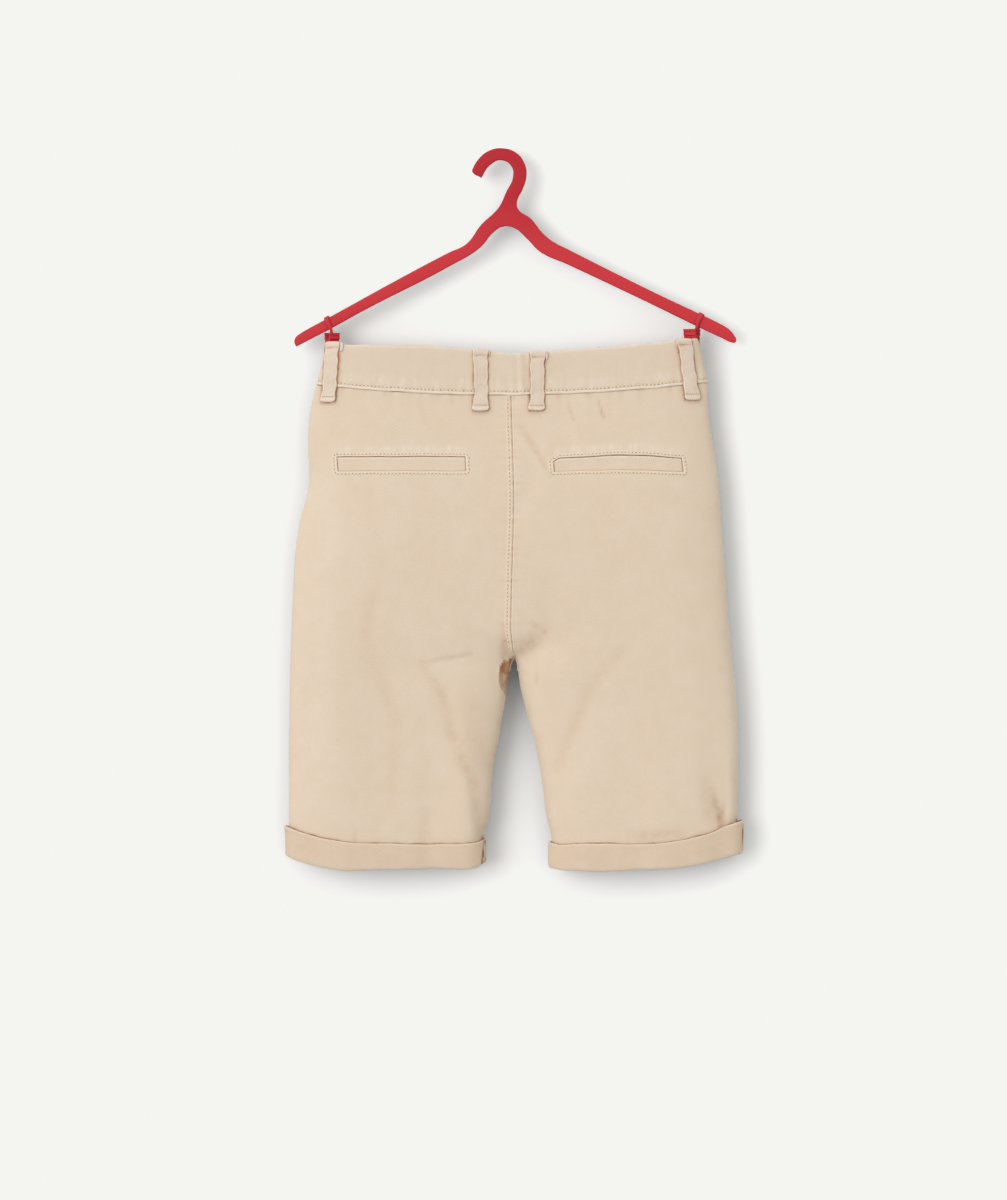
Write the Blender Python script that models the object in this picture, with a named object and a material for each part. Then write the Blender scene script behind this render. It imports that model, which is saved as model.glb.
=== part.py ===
"""Child's bermuda shorts in cotton twill, hung from a flat one-piece hanger by two small pinch clips.

Metres, +Z up. The origin is the top of the hook's mouth, where a peg carries the hanger. The back
of the shorts faces -Y and the wearer's left is at -X. Measures are written in millimetres and
turned into metres where a mesh is made.
"""

import math

import bmesh
import bpy
import numpy as np
from mathutils import Matrix, Vector

MM = 0.001

# Cloth, in millimetres
CLOTH = 1.2              # one layer of twill
BAND_CLOTH = 2.0         # waistband: two layers and interfacing
BAND_PROUD = 0.8         # how far the waistband stands out from the panels
BAND_EDGE = 0.6          # the top edge narrows by this much on each side
LOOP_CLOTH = 1.6         # belt loop: twill folded to a strip
CUFF_CLOTH = 2.2         # turned-up hem: two layers
SEAM_GAP = 0.3           # between neighbouring pieces

# The hang of the body. Heights are Z along the side seams.
SEAM_PLANE = -5.0        # Y of the side seams and inseams
FLATNESS = 5.0           # power of the section's curve: higher folds the sides tighter
SIDE_TURN = math.radians(70)
TORSO_CORNER = 0.35      # share of a torso panel's columns that round the side
LEG_CORNER = 0.6         # the same for each edge of a leg
WAIST_SEAM = -188.5
WAIST_TOP = -152.0
WAIST_SAG = 9.5          # the middle of the waist hangs this much below its ends
TOP_TILT = 2.6           # the right end of the top edge is higher by twice this
SEAM_TILT = 1.0
CENTRE_X = 8.6
HALF_WAIST = 162.0
SAG_END = -300.0         # below this height the rows are level
CROTCH_START = -392.0    # the centre seam starts to turn under here
CROTCH = -417.5
CROTCH_SHIFT = 2.9       # the centre seam's drift to the right at the crotch
CROTCH_MIX = 0.5         # the share of a panel's columns from which the cloth turns with the seam
LEG_START = -330.0       # beside the centre, the torso's section becomes the leg's between these
LEG_FULL = -424.0
PANEL_END = -593.3       # raw edge of the panels, inside the cuffs
HEM_START = -470.0       # the rows start to follow the hem's line here
HEM_FULL = -570.0

HIP_DEPTH = 21.5         # half of the greatest depth
SIDES = [  # height, left side seam, right side seam, half depth
    (-150.0, -147.5, 164.5, 12.5),
    (-171.0, -149.8, 169.2, 13.0),
    (-190.0, -155.4, 172.8, 13.5),
    (-213.0, -160.7, 173.8, 15.0),
    (-243.0, -162.3, 177.8, 17.5),
    (-272.0, -161.3, 181.8, 19.5),
    (-303.0, -168.9, 183.9, 21.0),
    (-324.0, -172.3, 185.6, HIP_DEPTH),
    (-364.0, -175.0, 188.1, 21.0),
    (-404.0, -176.7, 191.4, 19.5),
    (-444.0, -177.6, 195.6, 18.0),
    (-485.0, -178.3, 198.0, 17.0),
    (-545.0, -178.3, 197.7, 16.0),
    (-600.0, -178.3, 197.4, 15.0),
]

INSEAMS = [  # height, left leg, right leg
    (-417.5, 11.5, 11.5),
    (-421.0, 8.6, 13.4),
    (-430.0, 6.2, 14.5),
    (-442.0, 4.4, 16.2),
    (-456.0, 2.7, 19.7),
    (-473.0, -0.7, 24.1),
    (-487.0, -2.6, 27.6),
    (-503.0, -5.9, 30.9),
    (-532.0, -8.7, 35.4),
    (-559.0, -11.2, 38.6),
    (-572.0, -15.0, 41.9),
    (-600.0, -15.8, 42.8),
]

CUFFS = {  # height of the middle of the edge, rise at the side seam, share of the leg that rises
    -1: {"top": (-575.8, 15.5, 0.36), "bottom": (-596.4, 13.0, 0.32)},
    1: {"top": (-576.0, 20.5, 0.42), "bottom": (-597.4, 16.0, 0.36)},
}
CUFF_INNER_RISE = 5.0    # the same edges' rise at the inseam
CUFF_INNER_SPAN = 0.09
CUFF_STAND = 0.4         # between leg and cuff
CUFF_FLARE = 1.5         # more than that at the side seam
CUFF_FLARE_SPAN = 0.15
CUFF_FLOOR = 2.3         # cloth under the leg's raw edge
CUFF_RETURN = 10.0       # height of the fold inside the leg

FOLDS = [  # layer, from x, from z, to x, to z, half width, lift (negative is a trough)
    (-1, -34, -450, -22, -620, 11.0, 2.4),
    (-1, -54, -470, -60, -620, 13.0, -1.6),
    (-1, -92, -420, -10, -424, 12.0, -1.6),
    (-1, 60, -398, 18, -424, 10.0, -2.2),
    (-1, 34, -420, 92, -440, 13.0, 1.4),
    (-1, 26, -262, 14, -300, 10.0, -1.2),
    (-1, 176, -470, 186, -590, 12.0, -2.0),
    (-1, 118, -440, 150, -620, 22.0, 1.6),
    (-1, -140, -420, -120, -620, 24.0, 1.6),
    (1, -100, -440, -118, -620, 20.0, -1.8),
    (1, 110, -430, 126, -620, 22.0, -2.0),
    (1, -70, -400, 4, -422, 12.0, -2.0),
    (1, 78, -404, 18, -424, 12.0, -1.6),
    (1, -40, -470, -46, -620, 14.0, 1.8),
    (1, 66, -480, 78, -620, 14.0, 1.6),
]

FOLD_START = 0.35        # a fold's share of its lift where it starts
FOLD_TURN = math.radians(130)

COLUMNS = 12             # quads across a panel
ROW_HEIGHTS = [  # closer where the centre seam turns under
    -188.5, -200, -220, -242, -263, -285, -310, -335, -360, -380, -392, -404, -412, -416.2, -417.5,
    -420, -426, -436, -450, -468, -490, -512, -534, -556, -574, PANEL_END,
]

LOOPS = [  # name, layer, x at the top (middle), x at the bottom (middle)
    ("belt_loop_side_left", -1, -140.6, -144.6),
    ("belt_loop_back_left", -1, -16.6, -17.0),
    ("belt_loop_back_right", -1, 31.0, 29.8),
    ("belt_loop_side_right", -1, 155.4, 160.4),
    ("belt_loop_front_left", 1, -68.0, -69.0),
    ("belt_loop_front_right", 1, 86.0, 87.0),
]
LOOP_WIDTH = 12.0
LOOP_BELOW_SEAM = 13.5
LOOP_STAND = 2.2         # clearance for the belt in the middle of the loop
LOOP_END = 3.0           # thickness of the folded ends
LOOP_EDGE = 0.9          # the ends' outer edges are rounded by this much
LOOP_DROP = 0.8          # from the waistband's top edge to the loop

POCKETS = [  # name, x from, x to, z top, z bottom
    ("left", -139.0, -28.4, -251.4, -263.4),
    ("right", 44.3, 153.4, -251.2, -263.2),
]
POCKET_MOUTH = 0.9       # slit between the window's top and the welt
WELT_RECESS = 0.3

FLY_WIDTH = 34.0
FLY_LENGTH = 122.0
FLY_CURVE = 36.0         # height of the round lower corner
FLY_CLOTH = 1.0
BUTTON_RADIUS = 7.5
BUTTON_THICK = 3.0
BUTTON_HOLE = 0.9        # half the width of a hole
BUTTON_HOLE_SPACING = 1.7
BUTTON_SIDES = 20
BUTTON_INSET = 9.5       # from the end of the band to the button's middle
FRONT_OVERLAP = 16.0     # the left front band runs this far past the centre

# Hanger and clips
HANGER_THICK = 5.0
HANGER_EDGE = 0.7        # radius of its edges
HANGER_OUTLINE = [  # x, z, corner (True) or smooth (False), clockwise from the hook's end
    (-16.8, -14.6, True),
    (-24.7, -7.9, True),
    (-17.6, 2.4, False),
    (0.0, 10.1, False),
    (15.2, 2.6, False),
    (20.7, -11.5, False),
    (16.5, -26.2, False),
    (12.2, -37.4, False),
    (22.6, -48.0, False),
    (38.2, -65.4, False),
    (57.7, -76.6, False),
    (124.9, -109.4, False),
    (172.0, -132.2, False),
    (185.4, -138.6, False),
    (197.3, -149.0, False),
    (194.6, -154.2, False),
    (185.4, -148.9, False),
    (124.9, -120.4, False),
    (56.0, -87.8, False),
    (30.0, -73.9, False),
    (15.7, -59.6, False),
    (5.6, -55.9, False),
    (-5.3, -59.6, False),
    (-19.4, -74.6, False),
    (-43.1, -89.0, False),
    (-113.7, -125.4, False),
    (-173.2, -156.6, True),
    (-174.2, -149.4, False),
    (-167.6, -143.6, False),
    (-154.0, -136.6, False),
    (-83.4, -98.4, False),
    (-44.6, -77.6, False),
    (-25.6, -64.6, False),
    (-10.3, -46.4, False),
    (-0.6, -36.0, False),
    (4.8, -25.2, False),
    (9.5, -11.0, False),
    (6.3, -2.6, False),
    (0.0, 0.0, False),
    (-8.2, -2.6, False),
    (-13.4, -8.8, False),
]

CLIP_X = {-1: -140.6, 1: 158.4}
CLIP_LEVEL = {-1: -152.4, 1: -148.8}    # height of each clip's hinge
CLIP_HALF_WIDTH = 5.0
GRIP_DEPTH = 10.0        # the jaws' pads, below the hinge
INNER_JAW_BACK = 0.55    # the band curves towards the jaw inside it
HINGE_RADIUS = 1.3
RING_RADIUS = 1.1
RING_CLEAR = 0.85        # between the ring and the hanger's arm
RING_NECK = 8.8          # height above the hinge at which the ring closes in under the arm
ARM_TOP = {-1: (-147.7, -134.0), 1: (168.4, -130.2)}     # x and z of the arm's upper edge at the ring
JAW_PROFILE = [  # distance from the clip's middle plane, height above its hinge
    (4.4, 6.2),
    (6.0, 6.0),
    (5.5, 5.1),
    (5.8, 4.8),
    (5.2, 3.9),
    (5.45, 3.6),
    (4.6, 2.4),
    (4.0, 0.0),
    (3.7, -6.0),
    (3.0, -18.0),
    (2.5, -19.5),
    (1.9, -19.5),
    (1.9, -1.5),
    (2.1, 1.2),
]

COLOURS = {  # linear red, green, blue; roughness
    "twill": ((0.73, 0.58, 0.43), 0.9),
    "twill_band": ((0.73, 0.58, 0.44), 0.9),
    "twill_loop": ((0.75, 0.61, 0.48), 0.9),
    "plastic_red": ((0.60, 0.025, 0.045), 0.4),
    "button_horn": ((0.42, 0.30, 0.20), 0.35),
}


# ---------------------------------------------------------------- scene and materials


def clear_scene():
    for thing in list(bpy.data.objects):
        bpy.data.objects.remove(thing, do_unlink=True)


def new_collection(name):
    group = bpy.data.collections.new(name)
    bpy.context.scene.collection.children.link(group)
    return group


def new_material(name):
    colour, roughness = COLOURS[name]
    material = bpy.data.materials.new(name)
    material.use_nodes = True
    shader = material.node_tree.nodes["Principled BSDF"]
    shader.inputs["Base Color"].default_value = (*colour, 1.0)
    shader.inputs["Roughness"].default_value = roughness
    material.diffuse_color = (*colour, 1.0)
    return material


def add_object(name, data, material, group):
    thing = bpy.data.objects.new(name, data)
    group.objects.link(thing)
    if material is not None:
        data.materials.append(material)
    return thing


def mesh_from_bmesh(name, shape):
    bmesh.ops.recalc_face_normals(shape, faces=shape.faces)
    mesh = bpy.data.meshes.new(name)
    shape.to_mesh(mesh)
    shape.free()
    mesh.shade_smooth()
    mesh.set_sharp_from_angle(angle=math.radians(40))
    return mesh


# ---------------------------------------------------------------- the shape of the hanging body


def curve_through(table, column):
    """Smooth function of height through one column of a table that is sorted from top to bottom."""
    heights = np.array([row[0] for row in table])[::-1]
    values = np.array([row[column] for row in table])[::-1]
    slopes = np.gradient(values, heights)

    def curve(height):
        at = np.clip(height, heights[0], heights[-1])
        i = np.clip(np.searchsorted(heights, at) - 1, 0, len(heights) - 2)
        step = heights[i + 1] - heights[i]
        t = (at - heights[i]) / step
        start = values[i] * (1 + 2 * t) * (1 - t) ** 2 + slopes[i] * step * t * (1 - t) ** 2
        end = values[i + 1] * t**2 * (3 - 2 * t) - slopes[i + 1] * step * t**2 * (1 - t)
        return start + end

    return curve


SIDE_SEAM = {-1: curve_through(SIDES, 1), 1: curve_through(SIDES, 2)}
HALF_DEPTH = curve_through(SIDES, 3)
INSEAM = {-1: curve_through(INSEAMS, 1), 1: curve_through(INSEAMS, 2)}


def ramp(value, start, end):
    """0 at start and 1 at end, with a smooth slope between."""
    t = np.clip((value - start) / (end - start), 0.0, 1.0)
    return t * t * (3 - 2 * t)


def centre_seam(height):
    return CENTRE_X + CROTCH_SHIFT * ramp(height, CROTCH_START, CROTCH)


def waist_line(x, tilt):
    """Drop of the waist at x from the height of its ends."""
    way = (x - CENTRE_X) / HALF_WAIST
    return -WAIST_SAG * (1 - way**2) + tilt * way


def crotch_turn(height, share):
    """0 on the torso and 1 on a leg. The centre seam turns under as a quarter ellipse, and the cloth
    towards the side seams changes more slowly."""
    t = np.clip((CROTCH_START - height) / (CROTCH_START - CROTCH), 0.0, 1.0)
    at_seam = 1 - np.sqrt(1 - t**2)
    beside = ramp(height, LEG_START, LEG_FULL)
    return beside + (at_seam - beside) * ramp(share, CROTCH_MIX, 1.0)


def rounded_side(share, corner):
    """Way across (0 to 1) and depth (0 to 1) of a section that is folded at share 0."""
    angle = np.minimum(share / corner, 1.0) * SIDE_TURN
    folded = np.cos(angle) ** (2 / FLATNESS)
    level = math.cos(SIDE_TURN) ** (2 / FLATNESS) * (1 - share) / (1 - corner)
    reach = np.where(share < corner, folded, level)
    return 1 - reach, np.sqrt(1 - reach**FLATNESS)


def rounded_leg(share):
    """The same for a section that is folded at both ends."""
    way, depth = rounded_side(2 * np.minimum(share, 1 - share), LEG_CORNER)
    return np.where(share < 0.5, way / 2, 1 - way / 2), depth


def fold_lift(layer, x, z):
    """How far the cloth's large folds move a point out from the plain section."""
    lift = np.zeros_like(x)
    for fold_layer, x0, z0, x1, z1, width, height in FOLDS:
        if fold_layer != layer:
            continue
        run = np.array([x1 - x0, z1 - z0])
        along = ((x - x0) * run[0] + (z - z0) * run[1]) / run.dot(run)
        near = np.clip(along, 0.0, 1.0)
        away = np.hypot(x - x0 - near * run[0], z - z0 - near * run[1])
        swell = FOLD_START + (1 - FOLD_START) * np.sin(FOLD_TURN * near)
        lift = lift + height * swell * np.exp(-((away / width) ** 2))
    return lift


def edge_line(half, edge, way):
    """Z of a cuff's top or bottom edge, at a way across the leg (0 at the side seam, 1 at the inseam)."""
    middle, rise, span = CUFFS[half][edge]
    at_side = rise * np.clip(1 - way / span, 0.0, 1.0) ** 2.1
    at_inseam = CUFF_INNER_RISE * np.clip(1 - (1 - way) / CUFF_INNER_SPAN, 0.0, 1.0) ** 2
    return middle + at_side + at_inseam


def body_points(half, layer, share, height):
    """Outer surface of the torso and legs. half: -1 left, 1 right. layer: -1 back, 1 front."""
    turn = crotch_turn(height, share)
    torso_way, torso_depth = rounded_side(share, TORSO_CORNER)
    leg_way, leg_depth = rounded_leg(share)
    way = torso_way + (leg_way - torso_way) * turn
    depth = torso_depth + (leg_depth - torso_depth) * turn
    side = SIDE_SEAM[half](height)
    inner = np.where(height >= CROTCH, centre_seam(height) + half * SEAM_GAP / 2, INSEAM[half](height))
    x = side + (inner - side) * way
    hem = edge_line(half, "bottom", way) - CUFFS[half]["bottom"][0]
    z = height + waist_line(x, SEAM_TILT) * ramp(height, SAG_END, WAIST_SEAM)
    z = z + hem * ramp(height, HEM_START, HEM_FULL)
    swell = fold_lift(layer, x, z) * np.sqrt(depth)
    y = SEAM_PLANE + layer * (SEAM_GAP / 2 + depth * HALF_DEPTH(height) + swell)
    return np.stack([x, y, z], axis=-1)


def torso_points(layer, x, z):
    """Outer surface of the torso or waistband at given x and z."""
    x, z = np.broadcast_arrays(np.asarray(x, float), np.asarray(z, float))
    height = z
    for _ in range(4):
        height = z - waist_line(x, SEAM_TILT) * ramp(height, SAG_END, WAIST_SEAM)
    centre = centre_seam(height)
    side = np.where(x < centre, SIDE_SEAM[-1](height), SIDE_SEAM[1](height))
    reach = np.clip(np.abs((x - centre) / (side - centre)), 0.0, 1.0)
    depth = np.sqrt(1 - reach**FLATNESS)
    swell = fold_lift(layer, x, z) * np.sqrt(depth)
    y = SEAM_PLANE + layer * (SEAM_GAP / 2 + depth * HALF_DEPTH(height) + swell)
    return np.stack([x, y, z], axis=-1)


def outward(grid, layer, hold=None):
    """Unit normals of a grid of points. hold has a 0 for each axis that a point's normal may not use."""
    down, across = np.gradient(grid, axis=0), np.gradient(grid, axis=1)
    normals = np.cross(down, across)
    normals *= np.sign(normals[..., 1].sum() * layer)
    if hold is not None:
        normals = normals * hold
    return normals / np.linalg.norm(normals, axis=-1, keepdims=True)


# ---------------------------------------------------------------- meshes from grids


def skin(name, loops, ring=False):
    """Closed mesh over a stack of closed loops. A ring joins the last loop to the first; otherwise
    each end loop is capped by a strip between its first and second halves."""
    count, size = loops.shape[:2]
    shape = bmesh.new()
    points = [[shape.verts.new(p * MM) for p in loop] for loop in loops]
    for i in range(count if ring else count - 1):
        one, two = points[i], points[(i + 1) % count]
        for j in range(size):
            k = (j + 1) % size
            shape.faces.new((one[j], one[k], two[k], two[j]))
    if not ring:
        for loop in (points[0], points[-1]):
            for j in range(size // 2 - 1):
                shape.faces.new((loop[j], loop[j + 1], loop[size - 2 - j], loop[size - 1 - j]))
    return mesh_from_bmesh(name, shape)


def wall(name, outer, inner, material, group):
    """A cloth wall between two grids of points with the same rows and columns."""
    loops = np.concatenate([outer, inner[:, ::-1]], axis=1)
    return add_object(name, skin(name, loops), material, group)


# ---------------------------------------------------------------- the cut pieces


def make_panel(name, half, layer, material, group):
    shares = np.linspace(0.0, 1.0, COLUMNS + 1)
    heights = np.array(ROW_HEIGHTS, float)
    heights[0] -= SEAM_GAP / 2
    share, height = np.meshgrid(shares, heights)
    outer = body_points(half, layer, share, height)
    hold = np.ones_like(outer)
    torso = heights >= CROTCH
    hold[:, 0, 1] = 0
    hold[torso, -1, 0] = 0
    hold[heights <= CROTCH, -1, 1] = 0
    hold[[0, -1], :, 2] = 0
    inner = outer - outward(outer, layer, hold) * CLOTH
    return wall(name, outer, inner, material, group)


def make_band(name, layer, stations, material, group):
    """A stretch of waistband. stations: the (half, share) of each column, from left to right."""
    rows = [  # share of the height, lift of the outer face, lift of the inner face
        (0.0, BAND_PROUD - BAND_EDGE, BAND_PROUD - BAND_CLOTH + BAND_EDGE),
        (0.035, BAND_PROUD, BAND_PROUD - BAND_CLOTH),
        (0.35, BAND_PROUD, BAND_PROUD - BAND_CLOTH),
        (0.7, BAND_PROUD, BAND_PROUD - BAND_CLOTH),
        (1.0, BAND_PROUD, BAND_PROUD - BAND_CLOTH),
    ]
    base = []
    for drop, _, _ in rows:
        line = []
        for half, share in stations:
            height = WAIST_TOP + (WAIST_SEAM - WAIST_TOP) * drop
            side = SIDE_SEAM[half](height)
            way = rounded_side(np.float64(share), TORSO_CORNER)[0]
            x = side + (CENTRE_X - side) * way
            top = WAIST_TOP + waist_line(x, TOP_TILT)
            bottom = WAIST_SEAM + waist_line(x, SEAM_TILT) + SEAM_GAP / 2
            z = top + (bottom - top) * drop
            line.append(torso_points(layer, x, z))
        base.append(line)
    base = np.array(base)
    hold = np.ones_like(base)
    hold[[0, -1], :, 2] = 0
    for column, (_, share) in zip((0, -1), (stations[0], stations[-1])):
        hold[:, column, 1 if share == 0 else 0] = 0
        if share == 0:
            base[:, column, 1] = SEAM_PLANE + layer * SEAM_GAP / 2
    normals = outward(base, layer, hold)
    out_lift = np.array([row[1] for row in rows])[:, None, None]
    in_lift = np.array([row[2] for row in rows])[:, None, None]
    return wall(name, base + normals * out_lift, base + normals * in_lift, material, group)


def band_share(half, x):
    """The column share at which a waistband reaches x."""
    shares = np.linspace(0.0, 1.0, 400)
    way = rounded_side(shares, TORSO_CORNER)[0]
    side = SIDE_SEAM[half](WAIST_SEAM)
    return float(np.interp((x - side) / (CENTRE_X - side), way, shares))


def make_bands(material, group):
    shares = np.linspace(0.0, 1.0, COLUMNS + 1)
    left = [(-1, share) for share in shares]
    right = [(1, share) for share in shares[::-1]]
    make_band("waistband_back", -1, left + right[1:], material, group)
    split = CENTRE_X + FRONT_OVERLAP
    past = band_share(1, split)
    after = band_share(1, split + SEAM_GAP)
    make_band("waistband_front_left", 1, left + [(1, past)], material, group)
    beyond = [(1, after)] + [station for station in right if station[1] < after - 0.5 / COLUMNS]
    make_band("waistband_front_right", 1, beyond, material, group)


def make_loop(name, layer, top_x, bottom_x, material, group):
    """Belt loop: a strip from just under the top edge to below the waist seam, doubled at its ends."""
    rows = [  # share of the length from the top, clearance behind, thickness
        (0.0, SEAM_GAP, LOOP_END - LOOP_EDGE),
        (0.03, SEAM_GAP, LOOP_END),
        (0.11, SEAM_GAP, LOOP_END),
        (0.18, 1.0, LOOP_CLOTH),
        (0.35, LOOP_STAND, LOOP_CLOTH),
        (0.55, LOOP_STAND, LOOP_CLOTH),
        (0.72, LOOP_STAND - 0.5, LOOP_CLOTH),
        (0.86, 0.8, LOOP_CLOTH),
        (0.91, 0.4, LOOP_END),
        (0.97, SEAM_GAP, LOOP_END),
        (1.0, SEAM_GAP, LOOP_END - LOOP_EDGE),
    ]
    top = WAIST_TOP + waist_line(top_x, TOP_TILT) - LOOP_DROP
    bottom = WAIST_SEAM + waist_line(bottom_x, SEAM_TILT) - LOOP_BELOW_SEAM
    offsets = np.array([-0.5, -0.44, 0.0, 0.44, 0.5]) * LOOP_WIDTH
    swell = np.array([0.7, 1.0, 1.0, 1.0, 0.7])[:, None]     # share of the thickness at each column
    outer, inner = [], []
    for way, clear, thick in rows:
        middle = top_x + (bottom_x - top_x) * way
        z = top + (bottom - top) * way
        points = torso_points(layer, middle + offsets, z)
        ends = points[-1] - points[0]
        out = np.array([ends[1], -ends[0], 0.0])
        out *= layer * np.sign(out[1]) / np.linalg.norm(out)
        seat = BAND_PROUD + clear
        inner.append(points + out * seat)
        outer.append(points + out * (seat + thick * swell))
    return wall(name, np.array(outer), np.array(inner), material, group)


def cut(thing, low, high, name, cutters):
    """Cuts a box between two corners, in millimetres, out of an object."""
    shape = bmesh.new()
    bmesh.ops.create_cube(shape, size=1.0)
    low, high = Vector(low) * MM, Vector(high) * MM
    bmesh.ops.scale(shape, vec=high - low, verts=shape.verts)
    bmesh.ops.translate(shape, vec=(high + low) / 2, verts=shape.verts)
    box = add_object(name, mesh_from_bmesh(name, shape), None, cutters)
    box.hide_render = True
    box.display_type = "WIRE"
    modifier = thing.modifiers.new(name, "BOOLEAN")
    modifier.operation = "DIFFERENCE"
    modifier.solver = "EXACT"
    modifier.object = box


def make_pocket(side, x_from, x_to, top, bottom, panel, material, group, cutters):
    """A single-welt pocket: a window in the back panel with the welt in it, open along its top."""
    low, high = (x_from, SEAM_PLANE - 2 * HIP_DEPTH, bottom), (x_to, SEAM_PLANE, top)
    cut(panel, low, high, f"pocket_window_{side}", cutters)
    x = np.linspace(x_from + SEAM_GAP, x_to - SEAM_GAP, 9)
    z = np.linspace(top - POCKET_MOUTH, bottom + SEAM_GAP, 3)
    x, z = np.meshgrid(x, z)
    base = torso_points(-1, x, z)
    base[..., 1] += WELT_RECESS
    inner = base + np.array([0.0, CLOTH, 0.0])
    return wall(f"pocket_welt_{side}", base, inner, material, group)


def make_fly(material, group):
    """The fly's facing: a J-shaped patch on the front left panel, beside the centre seam."""
    edge = CENTRE_X - SEAM_GAP
    top = WAIST_SEAM + SEAM_TILT * (edge - CENTRE_X) / HALF_WAIST - SEAM_GAP
    straight = FLY_LENGTH - FLY_CURVE
    stations = [(drop, FLY_WIDTH) for drop in np.linspace(0.0, straight, 4)]
    for turn in np.radians((20, 40, 60, 75, 88)):
        stations.append((straight + FLY_CURVE * math.sin(turn), FLY_WIDTH * math.cos(turn)))
    rows = []
    for drop, width in stations:
        x = np.linspace(edge - width, edge, 5)
        rows.append(torso_points(1, x, top - drop + waist_line(x, SEAM_TILT)))
    base = np.array(rows)
    out = np.array([0.0, 1.0, 0.0])
    return wall("fly_facing", base + out * (SEAM_GAP + FLY_CLOTH), base + out * SEAM_GAP, material, group)


def cuff_section(half, share):
    """The cuff's U-shaped section at one share of the leg: distance out from the leg's surface, and Z."""
    way = float(rounded_leg(np.float64(share))[0])
    top = edge_line(half, "top", way)
    bottom = edge_line(half, "bottom", way)
    stand = CUFF_STAND + CUFF_FLARE * max(0.0, 1 - way / CUFF_FLARE_SPAN) ** 2
    face = stand + CUFF_CLOTH
    back = -CLOTH - CUFF_STAND
    return [
        (stand, top),
        (face - 0.5, top + 0.2),
        (face, top - 0.8),
        (face, (top + bottom) / 2),
        (face, bottom + 2.2),
        (face - 0.9, bottom + 0.5),
        (stand / 2, bottom),
        (back - CLOTH + 0.4, bottom + 0.5),
        (back - CLOTH, bottom + 1.8),
        (back - CLOTH, bottom + CUFF_RETURN),
        (back, bottom + CUFF_RETURN),
        (back, bottom + CUFF_FLOOR),
        (stand, bottom + CUFF_FLOOR),
    ]


def make_cuff(name, half, material, group):
    """Turned-up hem: a U-shaped ring that holds the leg's raw edge."""
    shares = np.linspace(0.0, 1.0, COLUMNS + 1)
    sections, paths = [], []
    for layer, part in ((-1, shares), (1, shares[-2:0:-1])):
        section = np.array([cuff_section(half, share) for share in part])
        hem = edge_line(half, "bottom", rounded_leg(part)[0]) - CUFFS[half]["bottom"][0]
        paths.append(body_points(half, layer, part[:, None], section[..., 1] - hem[:, None]))
        sections.append(section)
    sections, path = np.concatenate(sections), np.concatenate(paths)
    path[[0, COLUMNS], :, 1] = SEAM_PLANE
    tangent = np.roll(path, -1, axis=0) - np.roll(path, 1, axis=0)
    out = np.stack([tangent[..., 1], -tangent[..., 0], np.zeros(path.shape[:2])], axis=-1)
    out *= np.sign(((path - path.mean(axis=0)) * out)[..., :2].sum())
    out /= np.linalg.norm(out, axis=-1, keepdims=True)
    loops = path + out * sections[..., :1]
    loops[..., 2] = sections[..., 1]
    return add_object(name, skin(name, loops, ring=True), material, group)


def make_button(material, group, cutters):
    """Four-hole button on the front waistband."""
    x = CENTRE_X + FRONT_OVERLAP - BUTTON_INSET
    z = (WAIST_TOP + WAIST_SEAM) / 2 - WAIST_SAG
    seat = torso_points(1, x, z)[1] + BAND_PROUD + SEAM_GAP
    outline = [  # distance from the axis, height over the seat
        (0.0, 0.0),
        (BUTTON_RADIUS - 0.8, 0.0),
        (BUTTON_RADIUS, 0.9),
        (BUTTON_RADIUS, 2.2),
        (BUTTON_RADIUS - 0.8, BUTTON_THICK),
        (BUTTON_RADIUS - 2.0, BUTTON_THICK - 0.5),
        (0.0, BUTTON_THICK - 1.0),
    ]
    shape = bmesh.new()
    rings = []
    for radius, lift in outline[1:-1]:
        angles = [2 * math.pi * k / BUTTON_SIDES for k in range(BUTTON_SIDES)]
        place = [(x + radius * math.cos(a), seat + lift, z + radius * math.sin(a)) for a in angles]
        rings.append([shape.verts.new(Vector(p) * MM) for p in place])
    for one, two in zip(rings, rings[1:]):
        for k in range(BUTTON_SIDES):
            n = (k + 1) % BUTTON_SIDES
            shape.faces.new((one[k], one[n], two[n], two[k]))
    for ring, (_, lift) in ((rings[0], outline[0]), (rings[-1], outline[-1])):
        pole = shape.verts.new(Vector((x, seat + lift, z)) * MM)
        for k in range(BUTTON_SIDES):
            shape.faces.new((ring[k], ring[(k + 1) % BUTTON_SIDES], pole))
    button = add_object("button", mesh_from_bmesh("button", shape), material, group)
    for k in range(4):
        side, up = (k % 2 * 2 - 1), (k // 2 * 2 - 1)
        at = (x + side * BUTTON_HOLE_SPACING, seat, z + up * BUTTON_HOLE_SPACING)
        low = (at[0] - BUTTON_HOLE, at[1] - BUTTON_THICK, at[2] - BUTTON_HOLE)
        high = (at[0] + BUTTON_HOLE, at[1] + 2 * BUTTON_THICK, at[2] + BUTTON_HOLE)
        cut(button, low, high, f"button_hole_{k + 1}", cutters)
    return button


# ---------------------------------------------------------------- hanger and clips


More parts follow.
